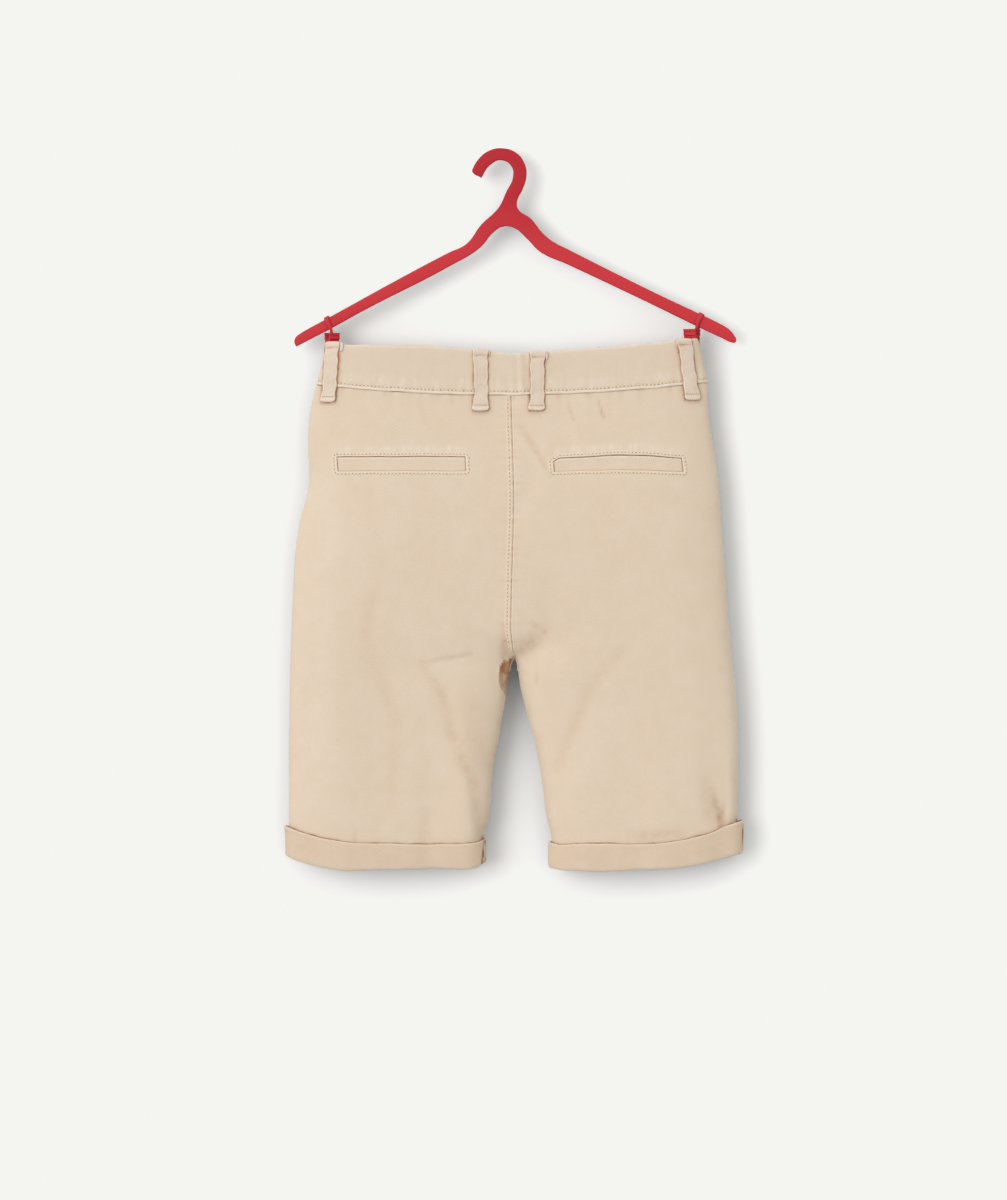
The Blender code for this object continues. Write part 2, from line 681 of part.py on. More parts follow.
def make_hanger(material, group):
    """Flat one-piece hanger: its outline as a filled curve, with rounded edges."""
    data = bpy.data.curves.new("hanger", "CURVE")
    data.dimensions = "2D"
    data.fill_mode = "BOTH"
    data.extrude = (HANGER_THICK / 2 - HANGER_EDGE) * MM
    data.bevel_depth = HANGER_EDGE * MM
    data.bevel_resolution = 1
    data.offset = -HANGER_EDGE * MM
    data.resolution_u = 3
    spline = data.splines.new("BEZIER")
    spline.bezier_points.add(len(HANGER_OUTLINE) - 1)
    spline.use_cyclic_u = True
    for point, (x, z, corner) in zip(spline.bezier_points, HANGER_OUTLINE):
        point.co = (x * MM, z * MM, 0.0)
        kind = "VECTOR" if corner else "AUTO"
        point.handle_left_type = kind
        point.handle_right_type = kind
    hanger = add_object("hanger", data, material, group)
    hanger.rotation_euler = (math.pi / 2, 0.0, 0.0)
    return hanger


def clip_frame(half):
    """Place of a clip: its hinge's middle, with X through the band, Y up and Z along the band."""
    x, level = CLIP_X[half], CLIP_LEVEL[half]
    grip = level - GRIP_DEPTH
    spread = torso_points(1, x + np.array([-1, 1]) * CLIP_HALF_WIDTH, grip)
    run = Vector(spread[1] - spread[0])
    run.z = 0.0
    run.normalize()
    up = Vector((0.0, 0.0, 1.0))
    through = up.cross(run)
    middle = Vector(torso_points(1, x, grip)) + through * (BAND_PROUD - BAND_CLOTH / 2)
    place = Matrix((through, up, run)).transposed().to_4x4()
    place.translation = Vector((middle.x, middle.y, level)) * MM
    return place


def make_jaw(name, half, face, material, group):
    """One jaw of a clip, extruded over the clip's width. face: -1 inside the shorts, 1 outside."""
    data = bpy.data.curves.new(name, "CURVE")
    data.dimensions = "2D"
    data.fill_mode = "BOTH"
    data.extrude = CLIP_HALF_WIDTH * MM
    spline = data.splines.new("POLY")
    spline.points.add(len(JAW_PROFILE) - 1)
    spline.use_cyclic_u = True
    back = INNER_JAW_BACK if face < 0 else 0.0
    for point, (away, height) in zip(spline.points, JAW_PROFILE):
        point.co = (face * (away + back) * MM, height * MM, 0.0, 1.0)
    jaw = add_object(name, data, material, group)
    jaw.matrix_world = clip_frame(half)
    return jaw


def make_ring(name, half, material, group):
    """The clip's hinge barrel and the loop that hangs it on the arm, moulded in one."""
    hinge = clip_frame(half)
    inside = hinge.inverted()
    arm = inside @ (Vector((ARM_TOP[half][0], 0.0, ARM_TOP[half][1])) * MM) / MM
    reach = HANGER_THICK / 2 + RING_CLEAR + RING_RADIUS
    top = arm.y + RING_RADIUS + 2 * RING_CLEAR
    shoulder = top - 2 * RING_RADIUS
    rise = [  # distance from the ring's middle plane, height above the hinge, share of the arm's offset
        (0.5, 0.0, 0.0),
        (0.6, 2.0, 0.0),
        (1.5, 4.2, 0.0),
        (2.3, 6.2, 0.1),
        (0.95 * reach, RING_NECK, 1.0),
        (reach, RING_NECK + 2.0, 1.0),
        (reach, shoulder, 1.0),
        (0.75 * reach, top - 0.5, 1.0),
    ]
    slant = hinge[1][2] / hinge[1][0]
    up, down = [], []
    for away, height, share in rise:
        lean = arm.z * min(1.0, height / shoulder)
        middle = share * (arm.x + slant * (arm.z - lean))
        up.append((middle - away, height, lean))
        down.append((middle + away, height, lean))
    route = up + [(arm.x, top, arm.z)] + down[::-1]
    data = bpy.data.curves.new(name, "CURVE")
    data.dimensions = "3D"
    data.bevel_depth = RING_RADIUS * MM
    data.bevel_resolution = 2
    data.use_fill_caps = True
    spline = data.splines.new("POLY")
    spline.points.add(len(route) - 1)
    for point, place in zip(spline.points, route):
        point.co = (*(Vector(place) * MM), 1.0)
    wire = bpy.data.objects.new(name + "_wire", data)
    bpy.context.scene.collection.objects.link(wire)
    mesh = bpy.data.meshes.new_from_object(wire.evaluated_get(bpy.context.evaluated_depsgraph_get()))
    bpy.data.objects.remove(wire)
    shape = bmesh.new()
    shape.from_mesh(mesh)
    bmesh.ops.remove_doubles(shape, verts=shape.verts, dist=0.01 * MM)
    ring = add_object(name, mesh_from_bmesh(name, shape), material, group)
    ring.matrix_world = hinge

    barrel_shape = bmesh.new()
    bmesh.ops.create_cone(
        barrel_shape, cap_ends=True, segments=14, radius1=HINGE_RADIUS * MM,
        radius2=HINGE_RADIUS * MM, depth=2 * (CLIP_HALF_WIDTH - 0.6) * MM,
    )
    return ring, mesh_from_bmesh(name + "_barrel", barrel_shape)


def make_clip(side, half, material, group, cutters):
    make_jaw(f"clip_jaw_inner_{side}", half, -1, material, group)
    make_jaw(f"clip_jaw_outer_{side}", half, 1, material, group)
    ring, barrel_mesh = make_ring(f"clip_ring_{side}", half, material, group)
    barrel = add_object(f"clip_barrel_{side}", barrel_mesh, None, cutters)
    barrel.matrix_world = ring.matrix_world
    barrel.hide_render = True
    barrel.display_type = "WIRE"
    join = ring.modifiers.new("barrel", "BOOLEAN")
    join.operation = "UNION"
    join.solver = "EXACT"
    join.use_self = True
    join.object = barrel


# ---------------------------------------------------------------- build


def main():
    clear_scene()
    shorts = new_collection("bermuda_shorts_on_hanger")
    cutters = new_collection("cutters")
    materials = {name: new_material(name) for name in COLOURS}
    twill = materials["twill"]

    panels = {}
    for side, half in (("left", -1), ("right", 1)):
        for face, layer in (("back", -1), ("front", 1)):
            name = f"{face}_{side}"
            panels[name] = make_panel(name, half, layer, twill, shorts)
        make_cuff(f"cuff_{side}", half, twill, shorts)
    make_bands(materials["twill_band"], shorts)
    for name, layer, top_x, bottom_x in LOOPS:
        make_loop(name, layer, top_x, bottom_x, materials["twill_loop"], shorts)
    for side, x_from, x_to, top, bottom in POCKETS:
        make_pocket(side, x_from, x_to, top, bottom, panels[f"back_{side}"], twill, shorts, cutters)
    make_fly(twill, shorts)
    make_button(materials["button_horn"], shorts, cutters)

    make_hanger(materials["plastic_red"], shorts)
    for side, half in (("left", -1), ("right", 1)):
        make_clip(side, half, materials["plastic_red"], shorts, cutters)
    print("objects:", len(shorts.objects))


main()
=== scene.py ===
# %% [markdown]
# # A child's bermuda shorts on a clip hanger
# The shorts hang by their waistband from a flat red hanger and show their back. Every piece is cut
# and sewn as a tailor would: four panels, a waistband in three lengths, six belt loops, two welt
# pockets, two turned-up hems and a fly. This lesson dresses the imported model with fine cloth.

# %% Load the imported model, which is the fixed frame
import math

import bmesh
import bpy
import numpy as np
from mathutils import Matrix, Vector


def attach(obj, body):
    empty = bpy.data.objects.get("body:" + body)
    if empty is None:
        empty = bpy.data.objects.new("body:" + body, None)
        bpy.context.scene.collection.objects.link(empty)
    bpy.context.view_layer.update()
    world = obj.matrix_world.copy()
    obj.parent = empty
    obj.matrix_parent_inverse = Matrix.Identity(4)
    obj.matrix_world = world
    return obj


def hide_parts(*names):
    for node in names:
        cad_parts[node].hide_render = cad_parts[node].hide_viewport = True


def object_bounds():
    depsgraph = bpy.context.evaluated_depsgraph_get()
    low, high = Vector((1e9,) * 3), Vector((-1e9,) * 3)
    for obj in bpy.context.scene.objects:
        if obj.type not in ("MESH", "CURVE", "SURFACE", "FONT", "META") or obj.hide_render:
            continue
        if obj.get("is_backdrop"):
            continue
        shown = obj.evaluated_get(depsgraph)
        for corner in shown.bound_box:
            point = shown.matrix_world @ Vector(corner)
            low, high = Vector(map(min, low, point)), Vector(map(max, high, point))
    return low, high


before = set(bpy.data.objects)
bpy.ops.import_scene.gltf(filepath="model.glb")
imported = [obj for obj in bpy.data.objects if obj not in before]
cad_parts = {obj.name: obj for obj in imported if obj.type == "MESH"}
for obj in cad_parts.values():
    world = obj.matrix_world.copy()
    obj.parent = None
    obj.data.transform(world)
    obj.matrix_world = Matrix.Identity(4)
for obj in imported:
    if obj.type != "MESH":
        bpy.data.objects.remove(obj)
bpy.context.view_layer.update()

MM = 0.001

# %% [markdown]
# ## The shape of the hanging cloth
# The solids were lofted from a few tables: side seams, inseams, hems and large folds. The same
# tables and functions make the fine cloth, so each piece lies where its solid lies. All of these
# measures are in millimetres.

# %% Thickness of the cloth
CLOTH = 1.2              # one layer of twill
BAND_CLOTH = 2.0         # waistband: two layers and interfacing
BAND_PROUD = 0.8         # how far the waistband's face stands out over the panels
CUFF_CLOTH = 2.2         # turned-up hem: two layers
SEAM_GAP = 0.3
HALVES = {"left": -1, "right": 1}        # as the wearer sees them
print("twill", CLOTH, "mm, waistband", BAND_CLOTH, "mm, turned-up hem", CUFF_CLOTH, "mm thick")

# %% [markdown]
# The seat is one flattened tube and each leg another, and a blend at the crotch joins them. The
# section of a tube is |across|^FLATNESS + |depth|^2 = 1, with a straight run between its two rounded
# corners. The waist sags between the clips, so each row across the seat is a bow, and the bow fades
# out further down.

# %% Levels of the hang
SEAM_PLANE = -5.0        # Y of the side seams and inseams
FLATNESS = 5.0
SIDE_TURN = math.radians(70)     # how far a corner of the section turns before its straight run
TORSO_CORNER = 0.35      # share of a panel's width that lies in the corner
LEG_CORNER = 0.6
WAIST_SEAM = -188.5
WAIST_TOP = -152.0
WAIST_SAG = 9.5
TOP_TILT = 2.6           # how much higher the upper edge is on the right than in the middle
SEAM_TILT = 1.0          # the same of the waist seam
CENTRE_X = 8.6           # X of the centre seam
HALF_WAIST = 162.0
SAG_END = -300.0         # from here down the rows are level
CROTCH_START = -392.0    # from here down the centre seam turns into the two inseams
CROTCH = -417.5
CROTCH_SHIFT = 2.9       # how far the centre seam moves to the right in that stretch
CROTCH_MIX = 0.5         # share of a panel's width at which its turn starts to follow the seam's
LEG_START = -330.0       # between these two heights the sides turn from seat to leg
LEG_FULL = -424.0
PANEL_END = -593.3
HEM_START = -470.0       # between these two the rows take up the slant of the hem
HEM_FULL = -570.0
print("from waist to hem", WAIST_TOP - PANEL_END, "mm")

# %% [markdown]
# The seams wander a little, as sewn seams do. Each is a row of heights with the place of the seam
# there, and a smooth curve is drawn through the rows.

# %% Side seams, inseams and centre seam
SIDES = [  # height, left side seam, right side seam, half depth
    (-150.0, -147.5, 164.5, 12.5),
    (-171.0, -149.8, 169.2, 13.0),
    (-190.0, -155.4, 172.8, 13.5),
    (-213.0, -160.7, 173.8, 15.0),
    (-243.0, -162.3, 177.8, 17.5),
    (-272.0, -161.3, 181.8, 19.5),
    (-303.0, -168.9, 183.9, 21.0),
    (-324.0, -172.3, 185.6, 21.5),
    (-364.0, -175.0, 188.1, 21.0),
    (-404.0, -176.7, 191.4, 19.5),
    (-444.0, -177.6, 195.6, 18.0),
    (-485.0, -178.3, 198.0, 17.0),
    (-545.0, -178.3, 197.7, 16.0),
    (-600.0, -178.3, 197.4, 15.0),
]
INSEAMS = [  # height, left leg, right leg
    (-417.5, 11.5, 11.5),
    (-421.0, 8.6, 13.4),
    (-430.0, 6.2, 14.5),
    (-442.0, 4.4, 16.2),
    (-456.0, 2.7, 19.7),
    (-473.0, -0.7, 24.1),
    (-487.0, -2.6, 27.6),
    (-503.0, -5.9, 30.9),
    (-532.0, -8.7, 35.4),
    (-559.0, -11.2, 38.6),
    (-572.0, -15.0, 41.9),
    (-600.0, -15.8, 42.8),
]
CENTRE_SWAY = [  # height, how far the centre seam wanders to the right
    (-188.5, -1.0), (-234.0, 0.2), (-287.0, 1.3), (-333.0, 0.2),
    (-379.0, -1.0), (-405.0, -1.5), (-412.0, -1.7), (-417.5, 0.0),
]
print("rows of side seams, inseams, centre:", len(SIDES), len(INSEAMS), len(CENTRE_SWAY))

# %% Hems, and the waistband's upper edge
CUFFS = {  # height of the middle of the edge, rise at the side seam, share of the leg that rises
    -1: {"top": (-575.8, 15.5, 0.36), "bottom": (-596.4, 13.0, 0.32)},
    1: {"top": (-576.0, 20.5, 0.42), "bottom": (-597.4, 16.0, 0.36)},
}
CUFF_INNER_RISE = 5.0    # rise at the inseam, and the share of the leg that rises there
CUFF_INNER_SPAN = 0.09
TOP_DIPS = [  # x, how far the waist's upper edge lies above its even curve
    (-175.0, 0.8), (-128.0, 1.2), (-114.0, 2.4), (-92.0, 3.1), (-60.0, 4.0), (-40.0, 3.3), (-22.0, 1.8),
    (-2.0, -0.7), (12.0, -1.5), (36.0, -0.8), (62.0, 0.0), (100.0, 0.2), (130.0, 0.3), (190.0, 0.4),
]
print("hems end at", CUFFS[-1]["bottom"][0], "and", CUFFS[1]["bottom"][0], "mm")

# %% [markdown]
# The large folds are in the solids too. Each is a straight ridge or trough that swells along its run
# and fades out to its sides. Layer -1 is the back, which shows, and 1 is the front.

# %% Large folds
FOLDS = [  # layer, from x, from z, to x, to z, half width, lift (negative is a trough)
    (-1, -34, -450, -22, -620, 11.0, 2.4),
    (-1, -54, -470, -60, -620, 13.0, -1.6),
    (-1, -92, -420, -10, -424, 12.0, -1.6),
    (-1, 60, -398, 18, -424, 10.0, -2.2),
    (-1, 34, -420, 92, -440, 13.0, 1.4),
    (-1, 26, -262, 14, -300, 10.0, -1.2),
    (-1, 176, -470, 186, -590, 12.0, -2.0),
    (-1, 118, -440, 150, -620, 22.0, 1.6),
    (-1, -140, -420, -120, -620, 24.0, 1.6),
    (1, -100, -440, -118, -620, 20.0, -1.8),
    (1, 110, -430, 126, -620, 22.0, -2.0),
    (1, -70, -400, 4, -422, 12.0, -2.0),
    (1, 78, -404, 18, -424, 12.0, -1.6),
    (1, -40, -470, -46, -620, 14.0, 1.8),
    (1, 66, -480, 78, -620, 14.0, 1.6),
]
FOLD_START = 0.35        # share of a fold's height at its start
FOLD_TURN = math.radians(130)
print("large folds:", len(FOLDS))

# %% Pocket windows
POCKETS = {  # x from, x to, z top, z bottom, how far the mouth gapes at its highest
    -1: (-138.0, -30.2, -249.8, -261.9, 0.3),
    1: (43.5, 151.2, -250.9, -262.6, 2.8),
}
POCKET_MOUTH = 0.5
MOUTH_GAPE = {-1: 0.0, 1: 0.25}    # how much more a mouth opens in its middle
POCKET_MITRE = {-1: (0.0, 4.0), 1: (3.2, 4.6)}     # fall and run of the cut corner at the left end
print("windows:", [round(right - left) for left, right, *_ in POCKETS.values()], "mm long")

# %% [markdown]
# These functions turn the tables into places. A point of a panel is given by its half (-1 is the
# wearer's left), its layer, its height, and its share of the way from the side seam to the centre.

# %% Smooth curves through the tables
def curve_through(table, column):
    """A smooth function of the height through one column of a table."""
    heights = np.array([row[0] for row in table])[::-1]
    values = np.array([row[column] for row in table])[::-1]
    slopes = np.gradient(values, heights)

    def curve(height):
        at = np.clip(height, heights[0], heights[-1])
        i = np.clip(np.searchsorted(heights, at) - 1, 0, len(heights) - 2)
        step = heights[i + 1] - heights[i]
        t = (at - heights[i]) / step
        start = values[i] * (1 + 2 * t) * (1 - t) ** 2 + slopes[i] * step * t * (1 - t) ** 2
        end = values[i + 1] * t**2 * (3 - 2 * t) - slopes[i + 1] * step * t**2 * (1 - t)
        return start + end

    return curve


SIDE_SEAM = {-1: curve_through(SIDES, 1), 1: curve_through(SIDES, 2)}
HALF_DEPTH = curve_through(SIDES, 3)
INSEAM = {-1: curve_through(INSEAMS, 1), 1: curve_through(INSEAMS, 2)}
SWAY = curve_through(CENTRE_SWAY, 1)
print("waist", round(float(SIDE_SEAM[1](-150.0) - SIDE_SEAM[-1](-150.0))), "mm across")


# %% Lines across the shorts
def ramp(value, start, end):
    """0 before the start and 1 past the end, with a smooth rise between them."""
    t = np.clip((value - start) / (end - start), 0.0, 1.0)
    return t * t * (3 - 2 * t)


def centre_seam(height):
    return CENTRE_X + CROTCH_SHIFT * ramp(height, CROTCH_START, CROTCH) + SWAY(height)


def waist_line(x, tilt):
    """How far a line across the waist lies above its level at the sides."""
    way = (x - CENTRE_X) / HALF_WAIST
    return -WAIST_SAG * (1 - way**2) + tilt * way


def top_line(x):
    """Z of the waistband's upper edge."""
    xs, dips = np.array(TOP_DIPS).T
    return WAIST_TOP + waist_line(x, TOP_TILT) + sum(np.interp(x + d, xs, dips) for d in (-6, -2, 2, 6)) / 4


def edge_line(half, edge, way):
    """Z of a hem's edge at a way from the side seam, 0, to the inseam, 1."""
    middle, rise, span = CUFFS[half][edge]
    at_side = rise * np.clip(1 - way / span, 0.0, 1.0) ** 2.1
    at_inseam = CUFF_INNER_RISE * np.clip(1 - (1 - way) / CUFF_INNER_SPAN, 0.0, 1.0) ** 2
    return middle + at_side + at_inseam


print("waist sags to", round(float(top_line(CENTRE_X)), 1), "mm in its middle")


# %% Sections of seat and leg
def crotch_turn(height, share):
    """How far a section has turned from seat, 0, to leg, 1."""
    t = np.clip((CROTCH_START - height) / (CROTCH_START - CROTCH), 0.0, 1.0)
    at_seam = 1 - np.sqrt(1 - t**2)
    beside = ramp(height, LEG_START, LEG_FULL)
    return beside + (at_seam - beside) * ramp(share, CROTCH_MIX, 1.0)


def rounded_side(share, corner):
    """Way in from the side seam, and depth, at a share of the width of a section's quarter."""
    angle = np.minimum(share / corner, 1.0) * SIDE_TURN
    folded = np.cos(angle) ** (2 / FLATNESS)
    level = math.cos(SIDE_TURN) ** (2 / FLATNESS) * (1 - share) / (1 - corner)
    reach = np.where(share < corner, folded, level)
    return 1 - reach, np.sqrt(1 - reach**FLATNESS)


def rounded_leg(share):
    """The same across a whole leg, which is round at both seams."""
    way, depth = rounded_side(2 * np.minimum(share, 1 - share), LEG_CORNER)
    return np.where(share < 0.5, way / 2, 1 - way / 2), depth


def fold_lift(folds, layer, x, z):
    """Sum of the folds of a layer, or of any table with the same columns."""
    lift = np.zeros_like(x)
    for fold_layer, x0, z0, x1, z1, width, height in folds:
        if fold_layer != layer:
            continue
        run = np.array([x1 - x0, z1 - z0])
        along = ((x - x0) * run[0] + (z - z0) * run[1]) / run.dot(run)
        near = np.clip(along, 0.0, 1.0)
        away = np.hypot(x - x0 - near * run[0], z - z0 - near * run[1])
        swell = FOLD_START + (1 - FOLD_START) * np.sin(FOLD_TURN * near)
        lift = lift + height * swell * np.exp(-((away / width) ** 2))
    return lift


print("a seat panel's corner reaches", round(float(rounded_side(TORSO_CORNER, TORSO_CORNER)[0]), 2), "in")


# %% Points on the panels
LEVEL_PASSES = 5         # rounds until a height along the side seams has settled


def body_points(half, layer, share, height):
    """Points of a panel at shares of its width and heights along the side seam."""
    turn = crotch_turn(height, share)
    torso_way, torso_depth = rounded_side(share, TORSO_CORNER)
    leg_way, leg_depth = rounded_leg(share)
    way = torso_way + (leg_way - torso_way) * turn
    depth = torso_depth + (leg_depth - torso_depth) * turn
    side = SIDE_SEAM[half](height)
    inner = np.where(height >= CROTCH, centre_seam(height) + half * SEAM_GAP / 2, INSEAM[half](height))
    x = side + (inner - side) * way
    hem = edge_line(half, "bottom", way) - CUFFS[half]["bottom"][0]
    z = height + waist_line(x, SEAM_TILT) * ramp(height, SAG_END, WAIST_SEAM)
    z = z + hem * ramp(height, HEM_START, HEM_FULL)
    swell = fold_lift(FOLDS, layer, x, z) * np.sqrt(depth)
    y = SEAM_PLANE + layer * (SEAM_GAP / 2 + depth * HALF_DEPTH(height) + swell)
    return np.stack([x, y, z], axis=-1)


def level_of(x, z):
    """Height along the side seams of a torso point."""
    height = z
    for _ in range(LEVEL_PASSES):
        height = z - waist_line(x, SEAM_TILT) * ramp(height, SAG_END, WAIST_SEAM)
    return height


def torso_points(layer, x, z):
    """Points of the seat that lie at given x and z."""
    x, z = np.broadcast_arrays(np.asarray(x, float), np.asarray(z, float))
    height = level_of(x, z)
    centre = centre_seam(height)
    side = np.where(x < centre, SIDE_SEAM[-1](height), SIDE_SEAM[1](height))
    reach = np.clip(np.abs((x - centre) / (side - centre)), 0.0, 1.0)
    depth = np.sqrt(1 - reach**FLATNESS)
    swell = fold_lift(FOLDS, layer, x, z) * np.sqrt(depth)
    y = SEAM_PLANE + layer * (SEAM_GAP / 2 + depth * HALF_DEPTH(height) + swell)
    return np.stack([x, y, z], axis=-1)


def unit(vectors):
    return vectors / np.linalg.norm(vectors, axis=-1, keepdims=True)


def outward(grid, layer, hold=None):
    """Unit normals of a grid of points. hold has a 0 for each axis that a normal may not use."""
    down, across = np.gradient(grid, axis=0), np.gradient(grid, axis=1)
    normals = np.cross(down, across)
    normals *= np.sign(normals[..., 1].sum() * layer)
    if hold is not None:
        normals = normals * hold
    return unit(normals)


print("seat", 2 * round(float(HALF_DEPTH(-303.0))), "mm deep")

# %% [markdown]
# ## Small relief: puckers, seams and creases
# A seam is several layers of cloth, so it stands up as a ridge with a groove where the thread pulls
# it down, and the cloth beside it puckers. These functions give that relief as a lift in
# millimetres. A second number, the wear, is above 0 where washing has paled the cloth. Below 0 it
# holds both the dye that stays in grooves and painted shade: creases, gaps, recesses and the strips
# beside raised edges are painted darker, as shade. A material reads it later from an attribute.

# %% Ripples, ridges and soft waves
def ripple(along, seed, waves=(5.1, 7.3, 11.9)):
    """Uneven puckers from -1 to 1 along a seam."""
    total = np.zeros_like(along)
    for k, wave in enumerate(waves):
        phase = 2.4 * seed + 1.7 * k
        total = total + np.sin(2 * math.pi * along / wave + phase + 0.9 * np.sin(along / wave / 2.3 + phase))
    return total / len(waves)


def bump_at(distance, place, width):
    """A soft ridge of height 1 at a place."""
    return np.exp(-(((distance - place) / width) ** 2))


def soft_waves(x, z, seed):
    """The slight unevenness of hanging cloth, about -1 to 1."""
    a = np.sin(x / 19.0 + 1.3 * np.sin(z / 47.0 + seed)) * np.sin(z / 63.0 + 0.7 * seed)
    b = np.sin(x / 11.0 + z / 31.0 + 2.1 * seed) * np.sin(z / 37.0 - x / 53.0 + seed)
    c = np.sin(x / 6.3 - z / 24.0 + 1.1 * seed) * np.sin(z / 17.0 + x / 29.0 + 2.0 * seed)
    return 0.5 * a + 0.32 * b + 0.18 * c


print("ripple at 0, 3 and 6 mm:", ripple(np.array([0.0, 3.0, 6.0]), 1.0).round(2))

# %% [markdown]
# ## Creases
# The creases are listed, each as a straight ridge (lift above 0) or trough (below 0) that fades
# out to its sides. Most fan out from the crotch or run down the legs beside the inseams. A few like
# them are on the hidden side. They are too fine for the solids.

# %% Creases placed one by one
# The wear column: below 0 is painted shade along a trough, above 0 is cloth paled by washing.
CREASES = [  # layer, from x, from z, to x, to z, half width, lift, wear
    (-1, 15, -222, 30, -246, 2.6, -0.7, -0.12),
    (-1, 30, -246, 42, -266, 2.0, -0.65, -0.2),
    (-1, 12, -232, 34, -262, 4.0, 0.5, 0.06),
    (-1, 81, -202, 86, -217, 1.2, -0.55, -0.35),
    (-1, 56, -204, 61, -218, 1.3, -0.4, -0.2),
    (-1, -112, -200, -104, -214, 2.2, 0.25, 0.05),
    (-1, -70, -200, -62, -222, 3.0, -0.25, -0.05),
    (-1, 62, -196, 72, -204, 5.0, 0.0, 0.12),
    (-1, -150, -262, -140, -330, 14.0, 0.3, 0.16),
    (-1, -150, -330, -152, -540, 16.0, 0.4, 0.16),
    (-1, -104, -360, -113, -400, 5.0, -0.6, -0.05),
    (-1, -113, -400, -88, -470, 6.0, -0.6, -0.05),
    (-1, -88, -470, -90, -540, 7.0, -0.5, -0.04),
    (-1, -66, -423, -26, -416, 2.0, -0.75, -0.16),
    (-1, -58, -431, -14, -430, 4.5, 0.5, 0.04),
    (-1, -66, -424, -49, -449, 4.0, -0.9, -0.1),
    (-1, -49, -449, -40, -486, 5.0, -1.2, -0.1),
    (-1, -40, -486, -23, -524, 6.0, -1.0, -0.1),
    (-1, -23, -524, -17, -566, 5.0, -0.8, -0.1),
    (-1, -26, -446, -20, -500, 12.0, 0.0, -0.12),
    (-1, -58, -470, -48, -520, 8.0, 0.7, 0.05),
    (-1, 3.5, -386, 3.0, -419, 3.4, -0.7, -0.26),
    (-1, 14, -380, 15, -412, 2.0, 0.3, 0.0),
    (-1, 36, -392, 22, -412, 7.0, -0.5, -0.12),
    (-1, 28, -404, 16, -415, 5.0, -0.4, -0.18),
    (-1, 24, -388, 37, -397, 2.2, -0.5, -0.16),
    (-1, 46, -402, 30, -428, 6.0, 0.6, 0.04),
    (-1, 30.5, -419, 29.5, -441, 1.5, -0.4, -0.14),
    (-1, 86, -420, 46, -512, 6.0, -0.7, -0.07),
    (-1, 108, -404, 84, -436, 5.0, -0.4, -0.05),
    (-1, 98, -450, 66, -520, 12.0, 0.5, 0.1),
    (-1, 178.4, -530, 184.4, -553, 3.4, -1.0, -0.2),
    (-1, 188.5, -539, 186, -554, 2.6, -0.7, -0.1),
    (-1, 184, -551, 186.5, -566, 3.6, -1.0, -0.34),
    (-1, 170, -520, 178, -552, 6.0, -0.6, -0.08),
    (-1, 190, -500, 193, -548, 4.0, 0.5, 0.2),
    (-1, 182, -225, 183, -330, 7.0, 0.0, 0.16),
    (-1, 186, -330, 192, -500, 8.0, 0.0, 0.2),
    (-1, -122, -562, -122.5, -574, 1.5, -0.5, -0.22),
    (-1, 110, -568, 150, -566, 5.0, -0.4, -0.16),
    (-1, 30, -446, 25, -500, 3.0, 0.4, 0.05),
    (-1, -96, -585, -92, -560, 5.0, 0.6, 0.05),
    (-1, -66, -585, -62, -548, 5.0, -0.6, -0.05),
    (1, 0, -396, -26, -424, 4.0, -0.9, -0.15),
    (1, 16, -398, 46, -426, 4.0, -0.9, -0.15),
    (1, -34, -404, -14, -430, 4.0, 0.7, 0.05),
    (1, 52, -404, 34, -430, 4.0, 0.7, 0.05),
    (1, -60, -200, -52, -224, 3.0, 0.35, 0.05),
    (1, 70, -200, 66, -222, 3.0, 0.3, 0.05),
    (1, -104, -470, -98, -560, 6.0, 0.6, 0.05),
    (1, 96, -470, 102, -565, 6.0, -0.7, -0.05),
]
# Painted shade: dark spots where cloth dives behind a fold.
PAINTED_SHADE_CORNERS = [  # layer, x, z, radius: where cloth dives behind a fold
    (-1, -14.6, -569.5, 1.7),
    (-1, 198.0, -555.8, 1.6),
]
print("creases placed by hand:", len(CREASES))

# %% [markdown]
# ## Colours and a node helper
# Colours are written as on a paint card, in sRGB hex, and one function makes them linear for the
# shader. One small function adds a node with its settings and links.

# %% Colour and node helpers
def linear(code):
    """Linear RGBA from an sRGB hex colour."""
    parts = [int(code[i:i + 2], 16) / 255 for i in (1, 3, 5)]
    return (*[c / 12.92 if c <= 0.04045 else ((c + 0.055) / 1.055) ** 2.4 for c in parts], 1.0)


def set_inputs(node, **inputs):
    """Gives a node numbers, colours or other nodes' sockets, by input name or number, as in _0."""
    for name, value in inputs.items():
        socket = node.inputs[int(name[1:])] if name[1:].isdigit() else node.inputs[name.replace("_", " ")]
        if isinstance(value, bpy.types.NodeSocket):
            node.id_data.links.new(value, socket)
        else:
            socket.default_value = value


def add_node(tree, kind, settings=None, **inputs):
    """A node of a kind, which is a shader's where its name doesn't say so."""
    node = tree.nodes.new(kind if "Node" in kind else "ShaderNode" + kind)
    for name, value in (settings or {}).items():
        setattr(node, name, value)
    set_inputs(node, **inputs)
    return node


COLOURS = {"data_type": "RGBA"}  # makes a Mix node mix two colours


def new_material(name):
    """A material, its node tree and its Principled shader."""
    material = bpy.data.materials.new(name)
    material.use_nodes = True
    tree = material.node_tree
    return material, tree, tree.nodes["Principled BSDF"]


print("mid grey in linear light:", round(linear("#808080")[0], 3))
